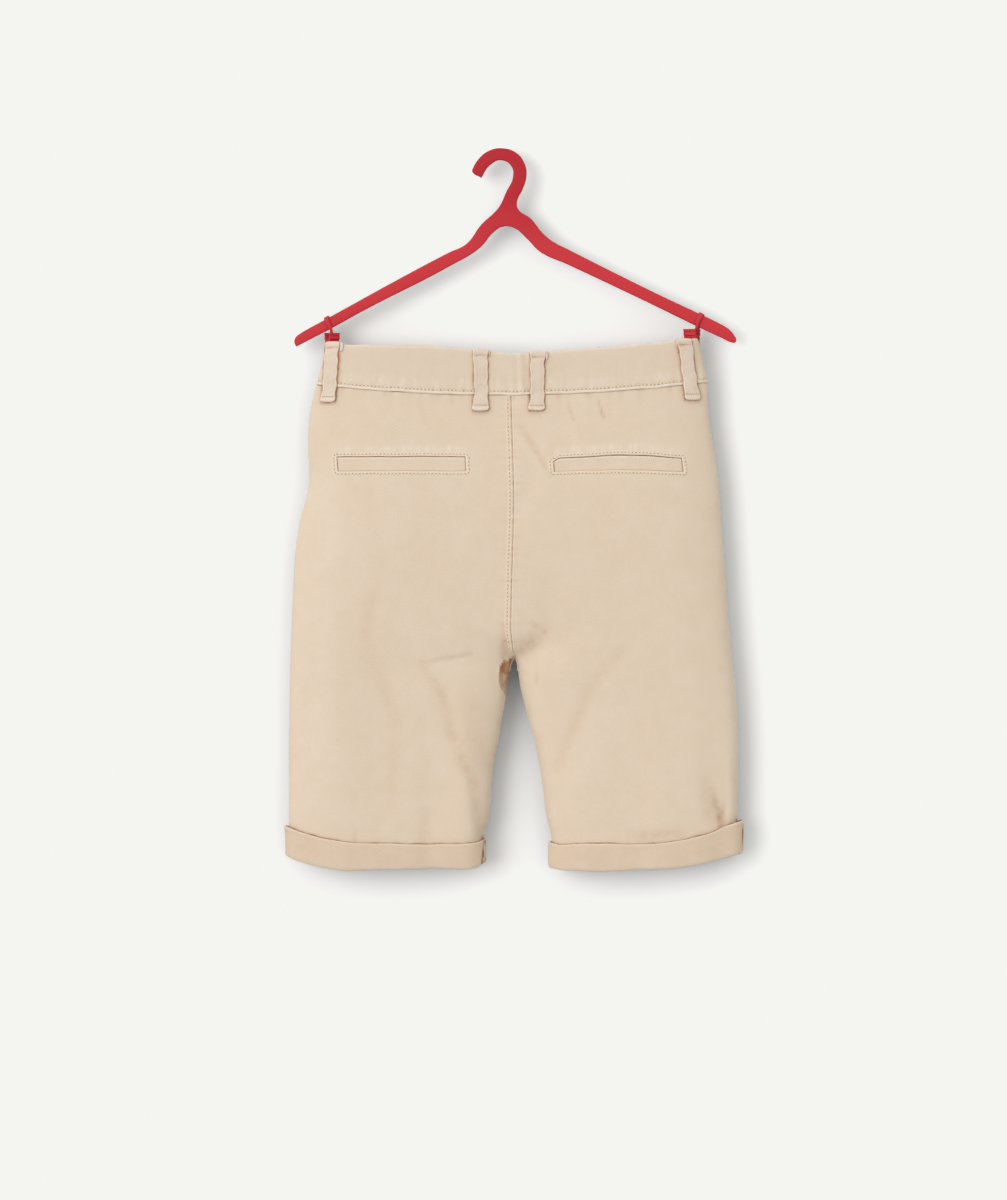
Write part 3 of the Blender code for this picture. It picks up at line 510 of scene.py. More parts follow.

# %% [markdown]
# ## Washed cotton twill
# The cloth is piece-dyed cotton twill, washed after sewing. The real ribs are about 0.5 mm apart,
# which is too fine to see from here, so they are drawn 1.7 mm apart. A second, finer noise stands for
# the yarn. Washing pales every ridge and leaves the dye in the grooves, so the wear attribute mixes
# between a deep, a plain and a pale tone. The deep tone also carries the painted shade in creases,
# gaps and beside raised edges.

# %% Twill material
RIB = 1.7 * MM
YARN = 0.9 * MM
RIB_SLANT = math.radians(28)
PATCHES = 60.0           # to the metre, where the dye took a little less well
MOTTLES = 170.0          # to the metre, in the wear
WEAVE_RELIEF = 0.25 * MM
WAVE_PHASE = 20          # radians that the wave texture runs through in each unit at scale 1


def make_twill(name, plain, pale, deep, patch):
    """Twill in a plain tone with paler patches, which wear and painted shade move towards a pale or a deep
    tone.
    """
    material, tree, shader = new_material(name)
    uv = add_node(tree, "UVMap", {"uv_map": "cloth"}).outputs[0]
    place = add_node(tree, "TexCoord").outputs["Object"]
    wear_and_shade = add_node(tree, "Attribute", {"attribute_name": "wear_and_shade"}).outputs["Fac"]

    turned = add_node(tree, "Mapping", _0=uv, _2=(0.0, 0.0, RIB_SLANT)).outputs[0]
    ribs = add_node(
        tree, "TexWave", {"wave_type": "BANDS", "bands_direction": "X", "wave_profile": "SIN"},
        _0=turned, Scale=2 * math.pi / (WAVE_PHASE * RIB), Distortion=0.6, Detail=1.0, Detail_Scale=2.0,
    ).outputs["Fac"]
    grain = add_node(tree, "TexNoise", _0=uv, Scale=1 / YARN, Detail=2.0, Roughness=0.65).outputs["Fac"]
    cloud = add_node(tree, "TexNoise", _0=place, Scale=PATCHES, Detail=6.0, Roughness=0.76).outputs["Fac"]
    mottle = add_node(tree, "TexNoise", _0=place, Scale=MOTTLES, Detail=2.0, Roughness=0.6).outputs["Fac"]

    clouded = add_node(tree, "MapRange", Value=cloud, _1=0.34, _2=0.68).outputs[0]
    base = add_node(tree, "Mix", COLOURS, _0=clouded, _6=linear(plain), _7=linear(patch)).outputs[2]
    uneven = add_node(tree, "MapRange", Value=mottle, _1=0.3, _2=0.7, _3=0.45, _4=1.25).outputs[0]
    worn_and_shaded = add_node(tree, "Math", {"operation": "MULTIPLY"}, _0=wear_and_shade, _1=uneven).outputs[0]
    up = add_node(tree, "Clamp", _0=worn_and_shaded).outputs[0]
    down = add_node(tree, "Math", {"operation": "MULTIPLY", "use_clamp": True}, _0=worn_and_shaded, _1=-1.0).outputs[0]
    paled = add_node(tree, "Mix", COLOURS, _0=up, _6=base, _7=linear(pale)).outputs[2]
    toned = add_node(tree, "Mix", COLOURS, _0=down, _6=paled, _7=linear(deep)).outputs[2]
    weave = add_node(tree, "Math", {"operation": "ADD"}, _0=ribs, _1=grain).outputs[0]
    shade = add_node(tree, "MapRange", Value=weave, _1=0.4, _2=1.6, _3=0.95, _4=1.03).outputs[0]
    colour = add_node(tree, "VectorMath", {"operation": "SCALE"}, _0=toned, Scale=shade).outputs[0]
    relief = add_node(tree, "Bump", Strength=0.35, Distance=WEAVE_RELIEF, Height=weave).outputs[0]
    set_inputs(shader, Base_Color=colour, Normal=relief, Roughness=0.88, Specular_IOR_Level=0.25)
    set_inputs(shader, Sheen_Weight=0.12, Sheen_Roughness=0.5)
    return material


# %% The four cuts of twill
# The tones are, in order: plain, pale with wear, deep (dye kept in grooves, and painted shade), and patches.
TWILL = make_twill("washed_twill", "#DFCBB3", "#F0E4D6", "#A8734A", "#E3D0BC")
TWILL_BAND = make_twill("washed_twill_band", "#DDCAB3", "#F0E4D6", "#B57A45", "#E1CFBC")
TWILL_LOOP = make_twill("washed_twill_loop", "#DAC6B0", "#EDE1D3", "#B07440", "#E0CFBF")
TWILL_CUFF = make_twill("washed_twill_turn_up", "#D8C1A7", "#E9D9C7", "#A06A3C", "#DDC8B3")
print("twill ribs", RIB / MM, "mm apart")

# %% [markdown]
# ## Sewing thread
# Core-spun polyester thread, dyed a little browner than the cloth. Each stitch dives into its
# needle hole at both ends, and its ends are painted dark, as painted shade of the holes. The stitch
# carries that as an attribute.

# %% Thread material
THREAD, tree, shader = new_material("spun_polyester_thread")
needle_hole_shade = add_node(tree, "Attribute", {"attribute_name": "needle_hole_shade"}).outputs["Fac"]
# The ends are painted dark brown, as painted shade of the needle holes.
tone = add_node(tree, "Mix", COLOURS, _0=needle_hole_shade, _6=linear("#EFDABA"), _7=linear("#6C4018")).outputs[2]
set_inputs(shader, Base_Color=tone, Roughness=0.6, Sheen_Weight=0.2)
print("materials:", [m.name for m in bpy.data.materials])

# %% [markdown]
# ## Moulded plastic for the hanger, clips and button
# The hanger and its clips are injection-moulded polypropylene with a fine spark-eroded skin: satin,
# with faint flow marks, and deeper in colour towards the hook. The button is polyester cast in
# streaky layers and polished, to look like horn.

# %% Red polypropylene
SKIN_GRAIN = 0.6 * MM    # pits of the eroded mould
HOOK_SHADE = (-0.075, -0.03)     # heights between which the colour deepens, in metres

RED, tree, shader = new_material("moulded_polypropylene_red")
place = add_node(tree, "TexCoord").outputs["Object"]
flow = add_node(tree, "TexNoise", _0=place, Scale=35.0, Detail=3.0).outputs["Fac"]
skin = add_node(tree, "TexNoise", _0=place, Scale=1 / SKIN_GRAIN, Detail=2.0).outputs["Fac"]
up = add_node(tree, "SeparateXYZ", _0=place).outputs["Z"]
hook = add_node(tree, "MapRange", Value=up, _1=HOOK_SHADE[0], _2=HOOK_SHADE[1]).outputs[0]
tint = add_node(tree, "Mix", COLOURS, _0=flow, _6=linear("#C62D35"), _7=linear("#CE363E")).outputs[2]
tint = add_node(tree, "Mix", COLOURS, _0=hook, _6=tint, _7=linear("#B9222E")).outputs[2]
satin = add_node(tree, "MapRange", Value=skin, _1=0.3, _2=0.7, _3=0.45, _4=0.6).outputs[0]
grain = add_node(tree, "Bump", Strength=0.2, Distance=0.08 * MM, Height=skin).outputs[0]
set_inputs(shader, Base_Color=tint, Roughness=satin, Normal=grain, IOR=1.49, Specular_IOR_Level=0.25)
print("pits", SKIN_GRAIN / MM, "mm apart in", RED.name)

# %% Horn-like polyester
HORN, tree, shader = new_material("cast_polyester_horn")
place = add_node(tree, "TexCoord").outputs["Object"]
warped = add_node(tree, "Mapping", _0=place, _2=(0.3, 0.4, 0.5), _3=(90.0, 400.0, 400.0))
streaks = add_node(tree, "TexNoise", _0=warped.outputs[0], Scale=1.0, Detail=4.0).outputs["Fac"]
horn = add_node(tree, "Mix", COLOURS, _0=streaks, _6=linear("#5E4127"), _7=linear("#B3906A")).outputs[2]
set_inputs(shader, Base_Color=horn, Roughness=0.3)
print("streaks run along X in", HORN.name)

# %% [markdown]
# ## A cloth wall from two grids
# Each cut piece is a thin closed wall: an outer grid, the same grid a cloth's thickness behind it,
# and a strip round every free edge. Cells can be left out, which makes a pocket's window. The UV map
# is in metres of cloth, so the weave keeps its scale, and the wear with its painted shade goes into a
# point attribute.

# %% Meshes and objects
PIECES = {}              # every piece made here, by name


def new_mesh(name, points, faces, edges=()):
    """A mesh of points in millimetres."""
    mesh = bpy.data.meshes.new(name)
    mesh.from_pydata((np.asarray(points) * MM).tolist(), edges, faces)
    return mesh


def new_object(name, data):
    thing = bpy.data.objects.new(name, data)
    bpy.context.scene.collection.objects.link(thing)
    return thing


# %% Free edges and lengths of a grid
def free_edges(keep):
    """Grid edges between a kept cell and none, as pairs of (row, column) points, cloth on the left."""
    padded = np.pad(keep, 1)
    edges = []
    for i, j in zip(*np.nonzero(keep)):
        if not padded[i, j + 1]:
            edges.append(((i, j), (i, j + 1)))
        if not padded[i + 2, j + 1]:
            edges.append(((i + 1, j + 1), (i + 1, j)))
        if not padded[i + 1, j]:
            edges.append(((i + 1, j), (i, j)))
        if not padded[i + 1, j + 2]:
            edges.append(((i, j + 1), (i + 1, j + 1)))
    return edges


def cloth_lengths(grid):
    """UV of each point: the length of cloth across and down, in metres."""
    across = np.linalg.norm(np.diff(grid, axis=1), axis=-1)
    down = np.linalg.norm(np.diff(grid, axis=0), axis=-1)
    u = np.pad(np.cumsum(across, axis=1), ((0, 0), (1, 0)))
    v = np.pad(np.cumsum(down.mean(axis=1)), (1, 0))
    return np.stack([u - u[:, -1:] / 2, np.broadcast_to(-v[:, None], u.shape)], axis=-1) * MM


print("one free cell has", len(free_edges(np.ones((1, 1), bool))), "free edges")


# %% Cloth wall helpers
INNER_WEAR = -0.1        # the wrong side of the twill is a little deeper in colour
SHARP = math.radians(50)


def finish_mesh(name, points, faces, uv, wear_and_shade, material):
    """A smooth cloth piece with its UV map and its wear and painted shade, faces outwards."""
    mesh = new_mesh(name, points, faces)
    shape = bmesh.new()
    shape.from_mesh(mesh)
    if shape.calc_volume(signed=True) < 0:
        bmesh.ops.reverse_faces(shape, faces=shape.faces)
    shape.to_mesh(mesh)
    shape.free()
    corners = np.empty(len(mesh.loops), np.int32)
    mesh.loops.foreach_get("vertex_index", corners)
    layer = mesh.uv_layers.new(name="cloth")
    layer.data.foreach_set("uv", np.asarray(uv)[corners].astype(np.float32).ravel())
    worn_and_shaded = mesh.attributes.new("wear_and_shade", "FLOAT", "POINT")
    worn_and_shaded.data.foreach_set("value", np.clip(wear_and_shade, -1, 1).astype(np.float32).ravel())
    mesh.shade_smooth()
    mesh.set_sharp_from_angle(angle=SHARP)
    mesh.materials.append(material)
    PIECES[name] = new_object(name, mesh)
    return PIECES[name]


def cloth_wall(name, outer, inner, wear_and_shade, material, keep=None):
    """A closed wall between two grids. keep says which cells of the grid are cloth."""
    rows, columns = outer.shape[:2]
    keep = np.ones((rows - 1, columns - 1), bool) if keep is None else keep
    index = np.arange(rows * columns).reshape(rows, columns)
    behind = rows * columns
    faces = []
    for i, j in zip(*np.nonzero(keep)):
        a, b, c, d = index[i, j], index[i, j + 1], index[i + 1, j + 1], index[i + 1, j]
        faces.append((a, b, c, d))
        faces.append((d + behind, c + behind, b + behind, a + behind))
    for one, two in free_edges(keep):
        a, b = index[one], index[two]
        faces.append((b, a, a + behind, b + behind))
    used = np.unique(np.array(faces))
    renumber = np.full(2 * behind, -1)
    renumber[used] = np.arange(len(used))
    faces = renumber[np.array(faces)].tolist()
    points = np.concatenate([outer.reshape(-1, 3), inner.reshape(-1, 3)])[used]
    uv = np.tile(cloth_lengths(outer).reshape(-1, 2), (2, 1))[used]
    worn_and_shaded = np.concatenate([wear_and_shade.ravel(), np.full(behind, INNER_WEAR)])[used]
    return finish_mesh(name, points, faces, uv, worn_and_shaded, material)


def stops(start, end, step, marks=()):
    """Places from start to end, about a step apart, with every mark among them."""
    marks = np.array([start, end, *[m for m in marks if start < m < end]])
    regular = np.linspace(start, end, max(2, round((end - start) / step) + 1))
    clear = [r for r in regular if np.abs(marks - r).min() > 0.5 * step]
    return np.unique(np.concatenate([clear, marks]))


print("stops from 0 to 4, 2 apart, with 3.5:", stops(0.0, 4.0, 2.0, [3.5]))

# %% [markdown]
# ## Panels
# A panel's columns run down the leg and its rows run across. They crowd together along the centre
# seam, the waist seam and the pocket, where the relief is fine, and stay about 2 mm apart elsewhere.
# The rows lie straight along the pocket's window, so its cells can simply be left out.

# %% Distances between rows and columns
FINE = (0.3, 0.7, 1.1, 1.5, 1.9, 2.3, 2.7, 3.1, 3.6, 4.2, 5.0, 6.2)     # from a seam
BESIDE_WINDOW = (0.0, 0.4, 0.9, 1.4, 1.9, 2.4, 2.9, 3.5, 4.4)
ABOVE_WINDOW = (0.4, 0.9, 1.4, 1.9, 2.4, 3.0, 4.0)
BELOW_WINDOW = (0.5, 1.1, 1.7, 2.3, 2.9, 3.5, 4.2, 5.2)
PANEL_WIDTH = 170.0
COLUMN_STEP, BACK_STEP, FRONT_STEP, LEG_STEP = 2.0, 2.2, 2.4, 2.7
WAIST_TO_WINDOW = 56.0
LEAST_TO_WINDOW = 50.0   # the same, where the window's upper edge is highest
WINDOW_ROWS = 7
WINDOW_TO_LEVEL = 36.0   # from the window down to the first level row
WAIST_TO_LEVEL = 104.0
ROW_PASSES = 6           # rounds until the rows have settled on their columns
print("columns", COLUMN_STEP, "mm apart, and", FINE[1] - FINE[0], "mm at a seam")

# %% Pocket window
POCKET_TOP_STITCH = 2.0
POCKET_END_STITCH = 2.6
POCKET_LOW_STITCH = 2.3
STITCH_LINE = 2.5        # from a seam or a fold to its topstitching


def pocket_edges(half, x):
    """Z of a pocket window's upper and lower edge at x."""
    left, right, top, bottom, gape = POCKETS[half]
    way = np.clip((x - left) / (right - left), 0.0, 1.0)
    arch = gape * np.sin(math.pi * way**1.25) ** 1.5 + 0.22 * ripple(x, 2.0 + half, (31.0, 47.0, 83.0))
    sag = 0.6 * gape * np.sin(math.pi * way) + 0.30 * ripple(x, 4.0 + half, (29.0, 53.0, 71.0))
    fall, run = POCKET_MITRE[half]
    return top + arch - fall * np.clip(1 - np.abs(x - left) / run, 0.0, 1.0), bottom + sag


def way_across(half, x, z):
    """How far a torso point lies from the side seam, 0, to the centre seam, 1."""
    height = level_of(x, z)
    side = SIDE_SEAM[half](height)
    return (x - side) / (centre_seam(height) - side)


def window_ways(half):
    left, right, top, _, _ = POCKETS[half]
    return way_across(half, left, top), way_across(half, right, top)


def pocket_column(half, x, z):
    """X at which the panel's column through a point crosses the top of the window."""
    left, right = POCKETS[half][:2]
    start, end = window_ways(half)
    return left + (way_across(half, x, z) - start) / (end - start) * (right - left)


def on_column(half, column, z):
    """X at a height of the column that crosses the top of the window at a given x."""
    left, right = POCKETS[half][:2]
    start, end = window_ways(half)
    height = level_of(column, z)
    side = SIDE_SEAM[half](height)
    return side + (centre_seam(height) - side) * (start + (column - left) / (right - left) * (end - start))


def pocket_distance(half, x, z):
    """Distance out from a pocket's window, in units that put the topstitching at STITCH_LINE."""
    left, right = POCKETS[half][:2]
    upper, lower = pocket_edges(half, x)
    column = pocket_column(half, x, z)
    beside = np.maximum(left - column, column - right) * STITCH_LINE / POCKET_END_STITCH
    above = (z - upper) * STITCH_LINE / POCKET_TOP_STITCH
    below = (lower - z) * STITCH_LINE / POCKET_LOW_STITCH
    up = np.maximum(above, below)
    outside = np.hypot(np.maximum(beside, 0), np.maximum(up, 0))
    return outside + np.minimum(np.maximum(beside, up), 0)


print("left window's edges:", [round(float(z), 1) for z in pocket_edges(-1, -84.0)])

# %% [markdown]
# The panel's grid follows from the window. Its rows are spread between guide lines: the waist seam,
# the window's upper and lower edge, and the first level row. From there down to the hem the rows are
# level, and their heights are given.


# %% Columns and rows of a panel
def panel_shares(half, layer):
    """The panel's columns, as shares of its width."""
    marks = [1 - d / PANEL_WIDTH for d in FINE] + [0.4 * d / PANEL_WIDTH for d in FINE[::2]]
    if layer < 0:
        fine = np.linspace(0.0, 1.0, 4000)
        reach = rounded_side(fine, TORSO_CORNER)[0]
        left, right, top, _, _ = POCKETS[half]
        for border, way_out in ((left, -1), (right, 1)):
            ways = [way_across(half, border + way_out * d, top) for d in BESIDE_WINDOW]
            marks += [float(np.interp(way, reach, fine)) for way in ways]
    return stops(0.0, 1.0, COLUMN_STEP / PANEL_WIDTH, marks)


def torso_rows(half, layer, shares):
    """X and Z of the rows above the first level one, and which of them cross the window."""
    guides = [
        lambda x: WAIST_SEAM - SEAM_GAP / 2 + waist_line(x, SEAM_TILT),
        lambda x: pocket_edges(half, x)[0],
        lambda x: pocket_edges(half, x)[1],
        lambda x: np.full_like(x, SAG_END),
    ]
    if layer < 0:
        under_waist = [d / WAIST_TO_WINDOW for d in FINE]
        above_window = [1 - d / LEAST_TO_WINDOW for d in ABOVE_WINDOW]
        below_window = [d / WINDOW_TO_LEVEL for d in BELOW_WINDOW]
        steps = [
            stops(0.0, 1.0, BACK_STEP / WAIST_TO_WINDOW, under_waist + above_window),
            stops(0.0, 1.0, 1 / WINDOW_ROWS),
            stops(0.0, 1.0, BACK_STEP / WINDOW_TO_LEVEL, below_window),
        ]
    else:
        guides = [guides[0], guides[-1]]
        steps = [stops(0.0, 1.0, FRONT_STEP / WAIST_TO_LEVEL, [d / WAIST_TO_LEVEL for d in FINE])]
    rows, window = [], []
    for k, (low, high, ways) in enumerate(zip(guides, guides[1:], steps)):
        for t in ways[:-1]:
            rows.append((low, high, t))
            window.append(layer < 0 and k == 1)
    way = rounded_side(shares, TORSO_CORNER)[0]
    side = SIDE_SEAM[half]((WAIST_SEAM + SAG_END) / 2 + 4.25)
    x = np.tile(side + (CENTRE_X - side) * way, (len(rows), 1))
    for _ in range(ROW_PASSES):
        z = np.array([(1 - t) * low(line) + t * high(line) for (low, high, t), line in zip(rows, x)])
        height = level_of(x, z)
        seam = SIDE_SEAM[half](height)
        x = seam + (centre_seam(height) + half * SEAM_GAP / 2 - seam) * way
    return x, z, np.array(window)


print("columns of a back panel:", len(panel_shares(-1, -1)))

# %% [markdown]
# Each kind of seam has its own relief. The centre seam's allowance is turned to the left and
# topstitched, so its left side stands up as far as the stitches reach. The cloth under the waistband
# is gathered in small tucks. The seams of the legs are pressed flat, with a soft worn edge.


# %% Relief beside the seams
SIDE_EASE = {-1: 0.0, 1: 0.8}     # how much fuller a side is than its solid


def centre_relief(half, layer, share, z):
    """Lift, and wear with painted shade, beside the centre seam."""
    away = (1 - share) * PANEL_WIDTH
    pull = ripple(z, 1.0 + layer) * np.exp(-away / 4.5)
    # The seam line and the stitch line are painted darker, as painted shade in their grooves.
    if half < 0:
        lift = 0.50 * ramp(away, 4.0, 2.9) - 0.25 * bump_at(away, STITCH_LINE, 0.45)
        lift = lift - 0.2 * np.exp(-away / 0.5)
        wear_and_shade = 0.2 * bump_at(away, 3.7, 0.6) - 0.25 * bump_at(away, STITCH_LINE, 0.4)
        wear_and_shade = wear_and_shade - 0.5 * np.exp(-away / 0.4)
    else:
        lift = 0.30 * bump_at(away, 1.2, 0.9) - 0.5 * np.exp(-away / 0.5)
        wear_and_shade = -0.8 * np.exp(-away / 0.4)
    return lift + 0.22 * pull, wear_and_shade + 0.42 * bump_at(away, 1.2, 0.7) + 0.30 * pull


def inseam_relief(share):
    away = (1 - share) * PANEL_WIDTH
    return 0.3 * bump_at(away, 1.5, 1.2), 0.5 * np.exp(-away / 1.6)


def side_relief(half, share, z):
    away = share * PANEL_WIDTH / 2
    fuller = SIDE_EASE[half] * ramp(z, -225.0, -262.0) * ramp(z, PANEL_END, -560.0)
    return fuller * np.exp(-away / 6.0) + 0.25 * bump_at(away, 1.5, 1.3), 0.35 * np.exp(-away / 1.5)


def waist_relief(layer, x, z):
    below = WAIST_SEAM + waist_line(x, SEAM_TILT) - z
    tuck = ripple(x, 3.0 + layer, (8.3, 13.1, 21.0)) * np.exp(-below / 7.0)
    lift = 0.35 * tuck * ramp(below, 0.0, 2.0) - 0.22 * np.exp(-below / 0.5)
    # The cloth just under the waist seam is painted darker, as painted shade below the band's edge.
    return lift, 0.22 * tuck - 0.40 * np.exp(-below / 0.6)


print("lift at a worn inseam:", round(float(inseam_relief(1 - 1.5 / PANEL_WIDTH)[0]), 2), "mm")

# %% [markdown]
# At the crotch the back of the left leg is drawn away from its inner edge, and the darker wrong side
# of the front shows in the notch. The dark strip is made on the same layer, set back and deep in
# colour, because it is only a few millimetres wide. Its deep colour is painted shade, darkest towards
# the crotch, and the front layer behind it is painted darker there too.

# %% Notch at the crotch
NOTCH = [  # height, how far the near layer of the left leg is drawn back from its inner edge
    (-417.8, 0.0), (-419.6, 2.0), (-422.0, 5.6), (-425.0, 7.6), (-431.0, 7.4),
    (-437.0, 6.7), (-442.0, 5.2), (-447.0, 2.4), (-450.0, 0.0),
]
NOTCH_DEPTH = 1.4


def notch_relief(half, layer, x, z):
    if half > 0:
        return 0.0 * z, 0.0 * z
    heights, backs = np.array(NOTCH)[::-1].T
    back = np.interp(z, heights, backs)
    from_edge = INSEAM[half](z) - x
    if layer > 0:
        return 0.0 * z, -NOTCH_DEPTH * (back > 0) * np.exp(-np.maximum(from_edge, 0) / 3.0)
    inside = ramp(back - from_edge, -0.4, 0.6) * (back > 0)
    rim = bump_at(from_edge - back, 0.9, 0.8) * (back > 0.5)
    # Painted shade, darkest towards the crotch.
    deep = 0.55 + 0.50 * ramp(z, -446.0, -424.0) + 0.15 * np.exp(-np.maximum(from_edge, 0) / 1.6)
    return 0.4 * rim - NOTCH_DEPTH * inside * ramp(from_edge, 0.0, 4.0), 0.4 * rim - deep * inside


print("notch", max(back for _, back in NOTCH), "mm wide")

# %% [markdown]
# Beside a belt loop's edges the cloth is painted darker, as painted shade of the loop; a pocket's
# window edge and mouth get painted shade too. The welt's window has a raised frame between its edge
# and its topstitching, and the cloth above it is rubbed.

# %% Belt loops, and the painted shade beside them
LOOPS = {  # node: layer, x at top and bottom, rise over the edge, flare, width and side of its ear
    "belt_loop_side_left": (-1, -141.0, -145.2, 1.9, 0.3, 3.0, 1),
    "belt_loop_back_left": (-1, -17.3, -17.0, 1.2, 1.0, 0.9, 1),
    "belt_loop_back_right": (-1, 30.6, 29.8, 1.0, 1.0, 2.0, 1),
    "belt_loop_side_right": (-1, 153.0, 160.4, 1.0, 0.6, 0.9, -1),
    "belt_loop_front_left": (1, -68.0, -69.0, 1.0, 0.8, 1.4, -1),
    "belt_loop_front_right": (1, 86.0, 87.0, 1.0, 0.9, 1.8, 1),
}
LOOP_WIDTH = 12.0
LOOP_BELOW_SEAM = 13.5


def painted_loop_shade(layer, x, z):
    """Painted shade on the cloth beside the edges of the belt loops."""
    marks = 0.0 * x
    for side, top_x, bottom_x, _, _, _, _ in LOOPS.values():
        if side == layer:
            top = top_line(top_x)
            bottom = WAIST_SEAM + waist_line(bottom_x, SEAM_TILT) - LOOP_BELOW_SEAM
            way = np.clip((top - z) / (top - bottom), 0.0, 1.0)
            beside = np.abs(x - top_x - (bottom_x - top_x) * way) - LOOP_WIDTH / 2
            away = np.hypot(np.maximum(beside, 0), np.maximum(bottom - z, 0))
            marks = marks - 0.75 * bump_at(away, 0.0, 1.1) - 0.08 * bump_at(away, 0.0, 4.5)
    return marks


print("belt loops:", len(LOOPS))


# %% Relief round the pockets
def pocket_relief(half, x, z):
    """Lift, and wear with painted shade, round a window."""
    away = pocket_distance(half, x, z)
    stitched = bump_at(away, STITCH_LINE, 0.5)
    below = ramp(pocket_edges(half, x)[1] - z, -0.3, 0.3)
    lift = 0.30 * ramp(away, 4.0, 2.9) + (0.20 - 0.14 * below) * bump_at(away, 1.2, 0.9) - 0.15 * stitched
    lift = lift - 0.25 * bump_at(away, 0.0, 0.45) + 0.10 * ripple(x, 5.0 + half) * np.exp(-away / 4)
    # The stitch line is painted a little darker and the window's edge dark, as painted shade.
    wear_and_shade = (0.75 - 0.35 * below) * bump_at(away, 1.1, 0.6) + 0.15 * bump_at(away, 3.9, 1.0) - 0.22 * stitched
    wear_and_shade = wear_and_shade - (0.9 - 0.8 * below) * bump_at(away, 0.0, 0.35) + 0.08 * bump_at(away, 0.0, 9.0)
    rubbed = np.clip(ripple(x, 2.0 + half, (4.3, 6.7, 17.0)), 0, 1)
    above = z - pocket_edges(half, x)[0]
    left, right = POCKETS[half][:2]
    inside = ramp(x, left - 4, left + 6) * ramp(x, right + 4, right - 6)
    wear_and_shade = wear_and_shade + (0.7 * rubbed + 0.15) * inside * bump_at(above, 6.5, 2.6)
    return lift * (away > 0), wear_and_shade


print("frame of a window:", round(float(pocket_relief(-1, -84.0, -249.0)[0]), 2), "mm proud")

# %% [markdown]
# The flat seat has to turn into round legs within a few centimetres. Without help that shows as a
# step across the crotch, so each column there is evened out by a running mean.

# %% Ease at the crotch, creases and dark corners
EASE_REACH = 15          # how far up and down a column is evened out
EASE_STEP = 2.5


def ease_crotch(grid, share):
    """Evens each column of a grid by a share."""
    reaches = np.arange(-EASE_REACH, EASE_REACH + 1, EASE_STEP)
    weights = np.exp(-((reaches / EASE_REACH * 1.6) ** 2))
    weights /= weights.sum()
    for k in range(grid.shape[1]):
        z = grid[::-1, k, 2].copy()
        for axis in (0, 1):
            given = grid[::-1, k, axis].copy()
            soft = sum(w * np.interp(grid[:, k, 2] + d, z, given) for w, d in zip(weights, reaches))
            grid[:, k, axis] += share[:, k] * (soft - grid[:, k, axis])


def crease_relief(half, layer, x, z):
    lift = fold_lift([row[:7] for row in CREASES], layer, x, z)
    lift = lift + 0.35 * soft_waves(x, z, 1.0 + half + 2 * layer)
    # Troughs are painted a little darker and ridges a little paler too: painted shade and highlight.
    return lift, fold_lift([row[:6] + row[7:] for row in CREASES], layer, x, z) + 0.06 * lift


def painted_corner_shade(layer, x, z):
    corners = [corner[1:] for corner in PAINTED_SHADE_CORNERS if corner[0] == layer]
    return -1.3 * sum(bump_at(np.hypot(x - at_x, z - at_z), 0.0, radius) for at_x, at_z, radius in corners)


print("columns are evened over", 2 * EASE_REACH, "mm")

# %% Build the four panels
SEAM_COVER = 0.5         # how far a folded edge reaches over the next piece
SEAM_END = 5.0           # the centre seam's relief ends this far above the crotch


def make_panel(name, half, layer):
    shares = panel_shares(half, layer)
    x, z, window = torso_rows(half, layer, shares)
    upper = torso_points(layer, x, z)
    marks = (CROTCH, -412, -414, -415.5, -416.6, -418.5, -420, -422, PANEL_END + 1.5)
    heights = stops(PANEL_END, SAG_END, LEG_STEP, marks)[::-1]
    lower = body_points(half, layer, *np.meshgrid(shares, heights))
    base = np.concatenate([upper, lower])
    share = np.broadcast_to(shares, base.shape[:2])
    ease_crotch(base, ramp(share, 1.0, 0.95) * bump_at(base[..., 2], CROTCH, 34.0))
    torso = np.concatenate([np.ones(len(upper), bool), heights >= CROTCH])
    hold = np.ones_like(base)
    hold[:, 0, 1] = 0
    hold[torso, -1, 0] = 0
    hold[~torso, -1, 1] = 0
    hold[[0, -1], :, 2] = 0
    normals = outward(base, layer, hold)

    x, z = base[..., 0], base[..., 2]
    seat = ramp(z, CROTCH - 1, CROTCH + SEAM_END)
    flat = ramp(share, 0.0, 0.06) * ramp(share, 1.0, 0.97)
    # The wear part of each relief also carries painted shade.
    reliefs = [  # how much of it there is, lift and wear
        (seat, centre_relief(half, layer, share, z)),
        (1 - seat, inseam_relief(share)),
        (1, side_relief(half, share, z)),
        (1, waist_relief(layer, x, z)),
        (flat, crease_relief(half, layer, x, z)),
        (1, notch_relief(half, layer, x, z)),
        (layer < 0, pocket_relief(half, x, z)),
    ]
    lift, wear_and_shade = (sum(part * relief[k] for part, relief in reliefs) for k in (0, 1))
    wear_and_shade = wear_and_shade + painted_loop_shade(layer, x, z) + painted_corner_shade(layer, x, z)
    outer = base + normals * lift[..., None]
    inner = outer - normals * CLOTH
    if half < 0:                                     # its folded edge covers the seam's gap
        outer[torso, -1, 0] += SEAM_COVER
        inner[torso, -1] = outer[torso, -1] - [0.0, layer * 0.15, 0.0]
    keep = np.ones((base.shape[0] - 1, base.shape[1] - 1), bool)
    if layer < 0:
        ways = rounded_side(shares, TORSO_CORNER)[0]
        middle = (ways[1:] + ways[:-1]) / 2
        start, end = sorted(window_ways(half))
        keep[np.ix_(np.nonzero(window)[0], (middle > start) & (middle < end))] = False
    return cloth_wall(name, outer, inner, wear_and_shade, TWILL, keep)


for side, half in HALVES.items():
    for face, layer in (("back", -1), ("front", 1)):
        panel = make_panel(f"cloth_{face}_{side}", half, layer)
        print(panel.name, len(panel.data.polygons), "faces")

